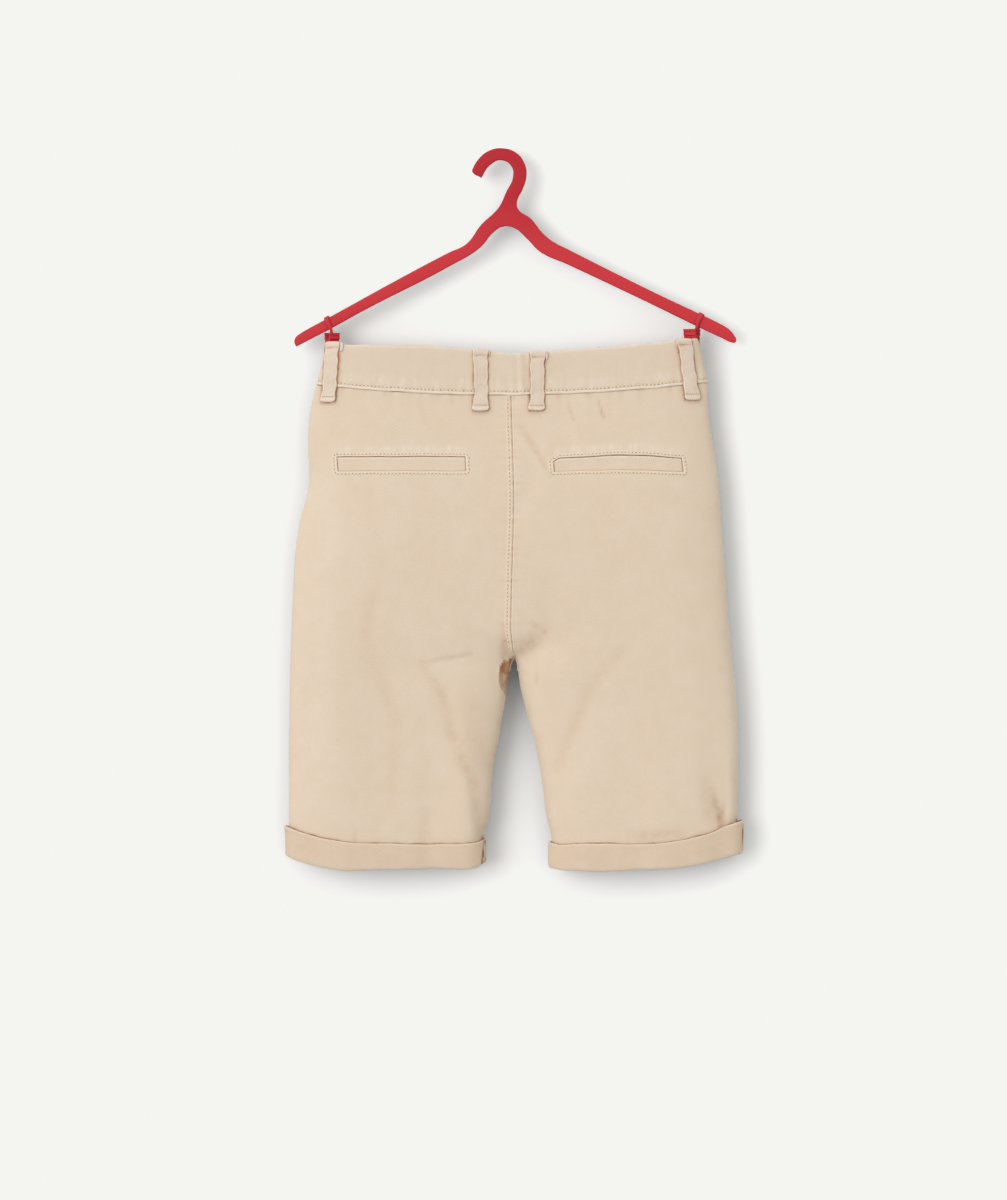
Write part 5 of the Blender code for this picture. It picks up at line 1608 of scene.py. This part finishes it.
def make_stitch_tree():
    tree = bpy.data.node_groups.new("stitches_along_lines", "GeometryNodeTree")
    face = tree.interface
    face.new_socket("Lines", in_out="INPUT", socket_type="NodeSocketGeometry")
    for name, value in (("Pitch", PITCH), ("Stitch length", STITCH), ("Thread width", THREAD_WIDTH)):
        face.new_socket(name, in_out="INPUT", socket_type="NodeSocketFloat").default_value = value
    face.new_socket("Seed", in_out="INPUT", socket_type="NodeSocketInt").default_value = 4
    face.new_socket("Stitches", in_out="OUTPUT", socket_type="NodeSocketGeometry")
    given = tree.nodes.new("NodeGroupInput")
    line = add_node(tree, "GeometryNodeMeshToCurve", Mesh=given.outputs["Lines"])
    spaced = add_node(
        tree, "GeometryNodeResampleCurve", {"mode": "LENGTH"}, Curve=line.outputs[0],
        Length=given.outputs["Pitch"],
    )
    seed = add_node(tree, "GeometryNodeMeshUVSphere", Segments=6, Rings=6, Radius=0.5)
    place = add_node(tree, "GeometryNodeInputPosition")
    axes = add_node(tree, "SeparateXYZ", _0=place.outputs[0])
    end = add_node(tree, "Math", {"operation": "ABSOLUTE"}, _0=axes.outputs[0])
    near = add_node(tree, "MapRange", Value=end.outputs[0], _1=0.25, _2=0.36).outputs[0]
    marked = add_node(
        tree, "GeometryNodeStoreNamedAttribute", {"data_type": "FLOAT", "domain": "POINT"},
        Geometry=seed.outputs[0], Name="needle_hole_shade", Value=near,
    )
    size = add_node(
        tree, "CombineXYZ", X=given.outputs["Stitch length"], Y=given.outputs["Thread width"],
        Z=given.outputs["Thread width"],
    )
    grain = add_node(tree, "GeometryNodeTransform", Geometry=marked.outputs[0], Scale=size.outputs[0])
    tangent = add_node(tree, "GeometryNodeInputTangent")
    aim = add_node(tree, "FunctionNodeAlignRotationToVector", {"axis": "X"}, Vector=tangent.outputs[0])
    jitter = add_node(
        tree, "FunctionNodeRandomValue", {"data_type": "FLOAT_VECTOR"}, _0=(-0.10, -0.10, -0.10),
        _1=(0.10, 0.10, 0.10), Seed=given.outputs["Seed"],
    )
    askew = add_node(tree, "FunctionNodeEulerToRotation", _0=jitter.outputs[0])
    turned = add_node(tree, "FunctionNodeRotateRotation", _0=aim.outputs[0], _1=askew.outputs[0])
    laid = add_node(
        tree, "GeometryNodeInstanceOnPoints", Points=spaced.outputs[0], Instance=grain.outputs[0],
        Rotation=turned.outputs[0],
    )
    real = add_node(tree, "GeometryNodeRealizeInstances", Geometry=laid.outputs[0])
    finish = add_node(tree, "GeometryNodeSetMaterial", Geometry=real.outputs[0], Material=THREAD)
    add_node(tree, "NodeGroupOutput", Stitches=finish.outputs[0])
    return tree


STITCH_TREE = make_stitch_tree()
print("nodes in the stitch tree:", len(STITCH_TREE.nodes))


# %% Sew along lines on the cloth
THREAD_LIFT = 0.12       # middle of the thread over the cloth
STAND_OFF = 12.0         # how far off the cloth a line is thrown at it from


def sew(name, lines, pitch=PITCH, length=STITCH, width=THREAD_WIDTH):
    """Stitches along lines of points, in millimetres, as one plain mesh."""
    points, edges = [], []
    for line in lines:
        edges += [(k, k + 1) for k in range(len(points), len(points) + len(line) - 1)]
        points += list(line)
    guide = new_object(name + "_line", new_mesh(name, points, [], edges))
    modifier = guide.modifiers.new("stitches", "NODES")
    modifier.node_group = STITCH_TREE
    sockets = STITCH_TREE.interface.items_tree
    given = {item.name: item.identifier for item in sockets if item.in_out == "INPUT"}
    for label, value in (("Pitch", pitch), ("Stitch length", length), ("Thread width", width)):
        modifier[given[label]] = value
    modifier[given["Seed"]] = len(PIECES)
    ready = guide.evaluated_get(bpy.context.evaluated_depsgraph_get())
    made = bpy.data.meshes.new_from_object(ready)
    bpy.data.objects.remove(guide)
    made.name = name
    made.shade_smooth()
    PIECES[name] = new_object(name, made)
    return PIECES[name]


def on_cloth(pieces, layer, x, z):
    """A line laid on the outside of the topmost of some cloth pieces."""
    line = torso_points(layer, x, z)
    for point in line:
        start = Vector((point[0], point[1] + layer * STAND_OFF, point[2])) * MM
        hits = [PIECES["cloth_" + piece].ray_cast(start, (0.0, -layer, 0.0)) for piece in pieces]
        found = [hit[1].y for hit in hits if hit[0]]
        point[1] = layer * max(layer * y / MM for y in found) + layer * THREAD_LIFT if found else point[1]
    return line


bpy.context.view_layer.update()
print("a stitch is", STITCH / MM, "mm long, and they are", PITCH / MM, "mm apart")

# %% Stitches of the waistband and the centre seam
BAND_STITCH = 3.0        # above the waist seam
low, high = (SIDE_SEAM[half](WAIST_SEAM) - half * 4.0 for half in (-1, 1))
for name, layer, start, end in (
    ("back", -1, low, high),
    ("front_left", 1, low, split - 2.0),
    ("front_right", 1, split + 2.5, high),
):
    x = np.arange(start, end, 1.0)
    z = WAIST_SEAM + waist_line(x, SEAM_TILT) + SEAM_GAP / 2 + BAND_STITCH + band_wobble(layer, x)
    sew(f"stitches_waistband_{name}", [on_cloth([f"waistband_{name}"], layer, x, z)])

heights = np.arange(WAIST_SEAM - 12.5, CROTCH + 2.5, -1.5)
for face, layer in (("back", -1), ("front", 1)):
    z = heights if layer < 0 else heights[heights < FLY_TOP - FLY_LENGTH - 12]
    x = centre_seam(z) - SEAM_GAP / 2 - STITCH_LINE
    sew(f"stitches_centre_{face}", [on_cloth([f"{face}_left"], layer, x, z)])
print("centre seam's stitches end at", round(float(heights[-1])), "mm")

# %% Stitches of the pockets
POCKET_TURN = 1.8        # radius of the stitched corners
POCKET_PITCH, POCKET_STITCH = 3.03 * MM, 3.0 * MM


def pocket_frame(half):
    """Column and height of a pocket's stitching, from its upper left corner round the window."""
    left, right = POCKETS[half][0] - POCKET_END_STITCH, POCKETS[half][1] + POCKET_END_STITCH
    r = POCKET_TURN
    line = np.linspace(left + r, right - r, 90)
    rise, run = (r * wave(np.radians(np.linspace(0, 90, 5))) for wave in (np.sin, np.cos))
    way = np.linspace(0, 1, 5)
    stretches = [  # column, share of the way down between the corners, how far above it
        (line, 0, r),
        (right - r + rise, 0, run),
        (right + 0 * way, way, 0),
        (right - r + run, 1, -rise),
        (line[::-1], 1, -r),
        (left + r - rise, 1, -run),
        (left + 0 * way, 1 - way, 0),
        (left + r - run, 0, rise),
    ]
    heights = []
    for column, down, past in stretches:
        upper, lower = pocket_edges(half, column)
        upper, lower = upper + POCKET_TOP_STITCH - r, lower - POCKET_LOW_STITCH + r
        heights.append(upper + (lower - upper) * down + past)
    return np.concatenate([stretch[0] for stretch in stretches]), np.concatenate(heights)


for side, half in HALVES.items():
    column, z = pocket_frame(half)
    line = on_cloth([f"back_{side}"], -1, on_column(half, column, z), z)
    sew(f"stitches_pocket_{side}", [line], pitch=POCKET_PITCH, length=POCKET_STITCH)
    print(side, "window:", len(line), "points")

# %% Stitches of the fly and the belt loops
straight = np.linspace(1.0, FLY_LENGTH - FLY_CURVE, 40)
turn = np.radians(np.linspace(0, 86, 24))
width = FLY_WIDTH - FLY_STITCH
x = FLY_EDGE - np.concatenate([0 * straight + width, width * np.cos(turn)])
below = np.concatenate([straight, FLY_LENGTH - FLY_CURVE + (FLY_CURVE - FLY_STITCH) * np.sin(turn)])
z = FLY_TOP - below + waist_line(x, SEAM_TILT)
sew("stitches_fly", [on_cloth(["fly_facing"], 1, x, z)])

TACKS = (5.0, 46.3)      # distance of the two bar tacks from a loop's top
TACK_REACH = 5.4
TACK_PITCH, TACK_WIDTH = 1.5 * MM, 0.5 * MM
for node, (layer, top_x, bottom_x, rise, _, _, _) in LOOPS.items():
    rows = []
    for down, at_x in zip(TACKS, (top_x, bottom_x)):
        x = at_x + np.linspace(-TACK_REACH, TACK_REACH, 12)
        rows.append(on_cloth([node], layer, x, top_line(top_x) + rise - down))
    sew(f"stitches_{node}", rows, pitch=TACK_PITCH, length=TACK_PITCH, width=TACK_WIDTH)
print("stitch pieces:", sum(name.startswith("stitches") for name in PIECES))

# %% [markdown]
# ## Hanger
# The hanger is a flat moulding 5 mm thick with softly rounded edges. Its outline is one closed
# Bezier curve, filled and bevelled, and finer than the solid it stands for.

# %% Build the hanger
HANGER_THICK = 5.0
HANGER_EDGE = 1.1
HANGER_OUTLINE = [  # x, z, from the hook's tip over the hook and round both arms
    (-16.8, -14.8), (-24.6, -9.4), (-24.2, -7.2), (-17.0, 3.4), (-10.4, 8.0), (0.0, 10.1),
    (12.3, 6.4), (19.4, -2.5), (21.2, -12.6), (18.0, -24.4), (13.4, -34.0), (13.9, -40.6),
    (24.7, -49.0), (34.8, -61.3), (43.7, -68.6), (57.7, -75.8), (124.9, -109.4), (166.0, -128.9),
    (178.1, -134.6), (186.6, -139.0), (192.3, -142.9), (196.0, -147.4), (197.7, -151.3),
    (196.6, -153.4), (194.2, -153.4), (185.1, -149.4), (166.9, -140.9), (124.9, -120.4),
    (56.0, -87.8), (32.5, -77.0), (21.3, -65.8), (10.1, -56.7), (1.1, -55.9), (-6.7, -60.8),
    (-17.9, -73.6), (-43.1, -89.0), (-113.7, -125.4), (-145.8, -143.0), (-161.4, -151.0),
    (-172.6, -156.9), (-174.1, -153.6), (-173.9, -150.6), (-172.2, -148.0), (-169.4, -145.9),
    (-165.0, -143.2), (-151.6, -135.9), (-83.4, -98.4), (-44.0, -77.6), (-29.6, -70.5),
    (-16.8, -54.0), (-4.4, -42.3), (-0.6, -37.0), (3.9, -27.0), (9.6, -14.8), (8.6, -5.4),
    (0.0, 0.0), (-9.6, -4.2),
]
HANGER_CORNERS = (0, 39)  # the only sharp points of it
MOULDED_SHARP = math.radians(35)


def finish_moulding(name, mesh, edge=0.0):
    """A red moulded piece from a closed mesh, with its edges rounded by a radius."""
    shape = bmesh.new()
    shape.from_mesh(mesh)
    bmesh.ops.remove_doubles(shape, verts=shape.verts, dist=0.01 * MM)
    if edge:
        bmesh.ops.bevel(
            shape, geom=shape.edges[:], offset=edge * MM, segments=2, affect="EDGES", clamp_overlap=True,
        )
    bmesh.ops.recalc_face_normals(shape, faces=shape.faces)
    shape.to_mesh(mesh)
    shape.free()
    mesh.name = name
    mesh.shade_smooth()
    mesh.set_sharp_from_angle(angle=MOULDED_SHARP)
    mesh.materials.clear()
    mesh.materials.append(RED)
    PIECES[name] = new_object(name, mesh)
    return PIECES[name]


def make_hanger():
    curve = bpy.data.curves.new("hanger_outline", "CURVE")
    curve.dimensions = "2D"
    curve.fill_mode = "BOTH"
    curve.extrude = (HANGER_THICK / 2 - HANGER_EDGE) * MM
    curve.bevel_depth = HANGER_EDGE * MM
    curve.bevel_resolution = 4
    curve.offset = -HANGER_EDGE * MM
    curve.resolution_u = 10
    spline = curve.splines.new("BEZIER")
    spline.bezier_points.add(len(HANGER_OUTLINE) - 1)
    spline.use_cyclic_u = True
    for k, (point, (x, z)) in enumerate(zip(spline.bezier_points, HANGER_OUTLINE)):
        point.co = (x * MM, z * MM, 0.0)
        point.handle_left_type = point.handle_right_type = "VECTOR" if k in HANGER_CORNERS else "AUTO"
    drawn = new_object("hanger_outline", curve)
    drawn.rotation_euler = (math.pi / 2, 0.0, 0.0)
    bpy.context.view_layer.update()
    mesh = bpy.data.meshes.new_from_object(drawn.evaluated_get(bpy.context.evaluated_depsgraph_get()))
    mesh.transform(drawn.matrix_world)
    bpy.data.objects.remove(drawn)
    return finish_moulding("moulded_hanger", mesh)


hanger = make_hanger()
print("hanger", len(hanger.data.polygons), "faces")

# %% [markdown]
# ## Clips
# Each clip has two grooved jaws on a hinge barrel, which grip the far side of the waistband. A flat
# strap goes up from the hinge, over the hanger's arm and down again, and is widest over the arm. The
# jaws are one profile drawn out along the band. The strap is a flat section swept round a smooth loop.

# %% Measures of the clips
CLIP_AT = {-1: (-142.6, -151.5), 1: (160.6, -148.2)}     # x and height of each clip's hinge
CLIP_HALF_WIDTH = {-1: 4.4, 1: 5.2}
CLIP_REACH = 5.0         # the band's direction is taken this far to each side of a clip
GRIP_DEPTH = 10.0        # the jaws' pads, below the hinge
INNER_JAW_BACK = 0.55    # the band curves towards the jaw inside it
JAW_EDGE = 0.12
JAW_PROFILE = [  # distance from the clip's middle plane, height above its hinge
    (4.4, 6.2), (6.0, 6.0), (5.8, 4.4), (5.1, 3.9), (5.1, 3.4), (5.7, 2.9), (5.6, 0.9), (4.2, 0.3),
    (4.2, -0.5), (4.8, -1.0), (3.7, -6.0), (3.0, -18.0), (2.5, -19.5), (1.9, -19.5), (1.9, -1.5), (2.1, 1.2),
]
HINGE_RADIUS = 1.3
STRAP_THICK = 1.3
STRAP_SIDES = 16         # of the strap's section, and of the hinge barrel
ARM_RUN = {-1: (0.87, 0.0, 0.49), 1: (0.90, 0.0, -0.44)}     # direction of the hanger's arm
STRAPS = {  # x, y, z and width, once round the arm from the hinge
    -1: [
        (-142.6, -1.1, -151.5, 2.4), (-142.6, -2.4, -147.0, 2.4),
        (-142.9, -3.4, -143.6, 2.5), (-144.2, -3.9, -139.8, 2.7),
        (-146.2, -3.9, -135.8, 3.4), (-147.3, -3.2, -133.2, 3.9),
        (-147.0, -0.2, -132.0, 3.8), (-145.6, 3.2, -133.1, 3.2),
        (-144.4, 3.9, -137.0, 2.8), (-143.2, 3.2, -143.0, 2.5),
        (-142.6, 1.2, -147.0, 2.4), (-142.6, 0.1, -151.5, 2.4),
    ],
    1: [
        (161.8, -0.3, -148.2, 2.4), (163.0, -2.2, -144.6, 2.0),
        (164.0, -3.4, -141.2, 2.2), (164.6, -3.9, -138.0, 2.5),
        (166.2, -3.9, -133.6, 3.6), (167.7, -3.3, -130.2, 4.4),
        (168.4, -0.3, -129.0, 4.2), (169.3, 3.2, -130.6, 3.6),
        (168.6, 3.9, -134.5, 3.0), (166.2, 3.4, -140.5, 2.6),
        (164.0, 1.8, -144.6, 2.4), (162.4, 0.9, -148.2, 2.4),
    ],
}
print("clips", [2 * width for width in CLIP_HALF_WIDTH.values()], "mm wide")


# %% Jaws
def clip_frame(half):
    """Directions through and along the band at a clip, and the middle of its hinge."""
    x, level = CLIP_AT[half]
    low, high = torso_points(1, x + np.array([-1, 1]) * CLIP_REACH, level - GRIP_DEPTH)
    along = (high - low) * [1, 1, 0] / np.linalg.norm((high - low)[:2])
    through = np.array([-along[1], along[0], 0.0])
    middle = torso_points(1, x, level - GRIP_DEPTH) + through * (BAND_PROUD - BAND_CLOTH / 2)
    return through, along, np.array([middle[0], middle[1], level])


def drawn_out(outline, length):
    """Points and faces of a solid with a flat outline at both ends of a length."""
    count = len(outline)
    sides = [(k, (k + 1) % count, count + (k + 1) % count, count + k) for k in range(count)]
    faces = [tuple(range(count)), tuple(range(count, 2 * count))] + sides
    return np.concatenate([outline - length / 2, outline + length / 2]), faces


def make_jaw(side, half, face):
    """One jaw. face: -1 inside the shorts, 1 outside."""
    through, along, middle = clip_frame(half)
    away, height = np.array(JAW_PROFILE).T[..., None]
    away = face * (away + (INNER_JAW_BACK if face < 0 else 0.0))
    outline = middle + away * through + height * [0, 0, 1]
    name = f"moulded_clip_jaw_{'inner' if face < 0 else 'outer'}_{side}"
    solid = new_mesh(name, *drawn_out(outline, 2 * CLIP_HALF_WIDTH[half] * along))
    return finish_moulding(name, solid, JAW_EDGE)


print("hinges at", [clip_frame(half)[2].round(1).tolist() for half in (-1, 1)])


# %% Straps, and both clips
def smooth_loop(rows, steps=6):
    """A closed smooth curve through rows of numbers."""
    t = np.linspace(0, 1, steps, endpoint=False)[:, None]
    before, start, end, after = (np.roll(np.array(rows), k, axis=0)[:, None] for k in (1, 0, -1, -2))
    bend = (2 * before - 5 * start + 4 * end - after) * t**2 + (3 * start - before - 3 * end + after) * t**3
    return (start + 0.5 * ((end - before) * t + bend)).reshape(-1, len(rows[0]))


def make_strap(side, half):
    """The strap round the arm and the hinge barrel, moulded in one."""
    path = smooth_loop(STRAPS[half])
    run = np.roll(path[:, :3], -1, axis=0) - np.roll(path[:, :3], 1, axis=0)
    thick = np.cross(run, ARM_RUN[half])
    wide = np.cross(thick, run)
    thick, wide = unit(thick), unit(wide)
    turn = np.linspace(0, 2 * math.pi, STRAP_SIDES, endpoint=False)[:, None]
    square = [np.sign(wave) * np.sqrt(np.abs(wave)) / 2 for wave in (np.cos(turn), np.sin(turn))]
    loops = path[:, None, :3] + wide[:, None] * square[0] * path[:, None, 3:]
    loops = loops + thick[:, None] * square[1] * STRAP_THICK
    through, along, middle = clip_frame(half)
    round_end = middle + HINGE_RADIUS * (np.cos(turn) * through + np.sin(turn) * [0, 0, 1])
    barrel, barrel_faces = drawn_out(round_end, (2 * CLIP_HALF_WIDTH[half] - 0.8) * along)
    faces = ring_faces(*loops.shape[:2]) + [tuple(k + loops.size // 3 for k in face) for face in barrel_faces]
    name = f"moulded_clip_ring_{side}"
    return finish_moulding(name, new_mesh(name, np.concatenate([loops.reshape(-1, 3), barrel]), faces))


for side, half in HALVES.items():
    for piece in (make_jaw(side, half, -1), make_jaw(side, half, 1), make_strap(side, half)):
        print(piece.name, [round(d / MM, 1) for d in piece.dimensions])

# %% [markdown]
# ## Button
# The button keeps its solid, which already has the right shape. It only gets its finish.

# %% Finish the button
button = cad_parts["button"]
button.data.materials.clear()
button.data.materials.append(HORN)
print(button.name, button.data.materials[0].name)

# %% [markdown]
# ## Everything rides on one body
# The shorts hold their shape, so all the pieces ride on the root. Each piece that stands for a
# solid hides it.

# %% Ride and replace
def ride_on(piece, node):
    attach(piece, "root")
    if node:
        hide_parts(node)


for name, piece in PIECES.items():
    if name.startswith("cloth_"):
        node = name.removeprefix("cloth_")
        ride_on(piece, node)
    elif name.startswith("stitches"):
        ride_on(piece, None)
    else:
        ride_on(piece, name.removeprefix("moulded_"))
print("pieces:", len(PIECES))

# %% [markdown]
# ## Camera, wall and light
# The shorts hang on a pale wall and are seen straight on from several metres, so a long lens is used.
# A soft key from the left throws a soft shadow to the right on the wall, and an even pale sky fills
# the rest. The wall only shows from the front. A real wall would keep the far side in the dark, so
# the light that comes through it is weakened for every bounce after the first. A product picture is
# lit until its wall burns out, so the paint is a little whiter than white, and a curve holds it at
# one even tone. Only real shadows are left on it, and everything darker keeps its own tone.

# %% Camera
FRAME_TALL = 1.008       # metres from the top to the bottom of the frame, in the middle of the shorts' back
FRAME_Y = -0.010
CAMERA_AT = (0.0018, -6.0, -0.370)

camera_data = bpy.data.cameras.new("camera")
camera = new_object("camera", camera_data)
camera.location = CAMERA_AT
camera.rotation_euler = (math.radians(90), 0.0, 0.0)
camera_data.sensor_width = 36.0
camera_data.lens = 36.0 * (FRAME_Y - CAMERA_AT[1]) / FRAME_TALL
camera_data.clip_end = 20.0
bpy.context.scene.camera = camera
print("lens", round(camera_data.lens, 1), "mm")

# %% Wall and floor
WALL_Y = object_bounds()[1][1] + 1.5 * MM     # just clear of the shorts' far side
FLOOR_Z = -0.95
BURNT_OUT = 1.12         # brightness of the paint, where 1 is white
WALL_TONE = (0.905, 0.914, 0.872)

PAINT, tree, shader = new_material("matt_wall_paint")
place = add_node(tree, "TexCoord").outputs["Object"]
roller = add_node(tree, "TexNoise", _0=place, Scale=3.0, Detail=2.0).outputs["Fac"]
paint = add_node(tree, "Mix", COLOURS, _0=roller, _6=linear("#FDFDFD"), _7=linear("#FFFFFF")).outputs[2]
bright = add_node(tree, "VectorMath", {"operation": "SCALE"}, _0=paint, Scale=BURNT_OUT).outputs[0]
set_inputs(shader, Base_Color=bright, Roughness=1.0, Specular_IOR_Level=0.0)
behind = add_node(tree, "NewGeometry").outputs["Backfacing"]
clear = add_node(tree, "BsdfTransparent")
one_sided = add_node(tree, "MixShader", _0=behind, _1=shader.outputs[0], _2=clear.outputs[0])
set_inputs(tree.nodes["Material Output"], Surface=one_sided.outputs[0])


def make_plane(name, corners, material):
    mesh = bpy.data.meshes.new(name)
    mesh.from_pydata(corners, [], [(0, 1, 2, 3)])
    mesh.materials.append(material)
    plane = new_object(name, mesh)
    plane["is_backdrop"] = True
    return plane


wall = make_plane("wall", [(-3, WALL_Y, -3), (3, WALL_Y, -3), (3, WALL_Y, 3), (-3, WALL_Y, 3)], PAINT)
floor = make_plane("floor", [(-4, -4, FLOOR_Z), (4, -4, FLOOR_Z), (4, 4, FLOOR_Z), (-4, 4, FLOOR_Z)], PAINT)
for plane in (wall, floor):
    plane.visible_shadow = False
    plane.visible_diffuse = False
    plane.visible_glossy = False
print("stage:", wall.name, floor.name)

# %% Two soft suns
KEY = ((0.72, 1.0, -0.13), 1.14, 38.0, "#FFFBFC")    # direction, strength, angle in degrees, colour
FILL = ((-0.35, -1.0, -0.45), 0.20, 40.0, "#FFFDFA")
BEHIND_WALL = 0.02       # share of the light from behind the wall that is left after the first bounce


def past_wall(tree, seen):
    """1 for light that falls on what is seen, up to a ray depth, and a small share for other light."""
    depth = add_node(tree, "LightPath").outputs["Ray Depth"]
    return add_node(
        tree, "MapRange", Value=depth, _1=seen, _2=seen + 0.5, _3=1.0, _4=BEHIND_WALL,
    ).outputs[0]


def add_sun(name, direction, strength, angle, colour):
    data = bpy.data.lights.new(name, "SUN")
    data.energy = strength
    data.angle = math.radians(angle)
    data.color = linear(colour)[:3]
    sun = new_object(name, data)
    sun.rotation_euler = Vector(direction).to_track_quat("-Z", "Y").to_euler()
    return sun


add_sun("key", *KEY)
fill = add_sun("fill_from_the_other_side", *FILL).data
fill.use_nodes = True
fill.cycles.use_multiple_importance_sampling = False     # so that all its light arrives at one ray depth
set_inputs(fill.node_tree.nodes["Emission"], Strength=past_wall(fill.node_tree, 1.0))

print("key", KEY[1], "and fill", FILL[1])

# %% Pale sky
SKY_STRENGTH = 0.91

world = bpy.data.worlds.new("pale_studio")
bpy.context.scene.world = world
world.use_nodes = True
world.cycles.sampling_method = "NONE"                    # as for the fill
tree = world.node_tree
place = add_node(tree, "TexCoord").outputs["Generated"]
axes = add_node(tree, "SeparateXYZ", _0=place)
level = add_node(tree, "MapRange", Value=axes.outputs["Z"], _1=-0.6, _2=0.6).outputs[0]
sky = add_node(tree, "Mix", COLOURS, _0=level, _6=linear("#C4C7C8"), _7=linear("#FFFEF8")).outputs[2]
behind = add_node(tree, "MapRange", Value=axes.outputs["Y"], _1=-0.05, _2=0.05).outputs[0]
kept = add_node(tree, "Mix", {"data_type": "FLOAT"}, _0=behind, _2=1.0, _3=past_wall(tree, 2.0)).outputs[0]
strength = add_node(tree, "Math", {"operation": "MULTIPLY"}, _0=kept, _1=SKY_STRENGTH).outputs[0]
set_inputs(tree.nodes["Background"], Color=sky, Strength=strength)
print("sky", SKY_STRENGTH)

# %% Exposure
BEND = (-0.03, 0.008)    # the curve turns level between these, counted from the wall's tone

view = bpy.context.scene.view_settings
view.view_transform = "Standard"
view.look = "None"
view.use_curve_mapping = True
view.curve_mapping.extend = "HORIZONTAL"
for channel, tone in zip(view.curve_mapping.curves, WALL_TONE):
    for off in BEND:
        channel.points.new(tone + off, tone + min(off, 0.0))
    channel.points[-1].location = (1.0, tone)
    for point in channel.points:
        point.handle_type = "VECTOR"
view.curve_mapping.update()
print("the wall is held at", WALL_TONE)

# %% Bounds and triangle count
low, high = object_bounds()
print("triangles:", sum(len(p.data.loop_triangles) or len(p.data.polygons) * 2 for p in PIECES.values()))
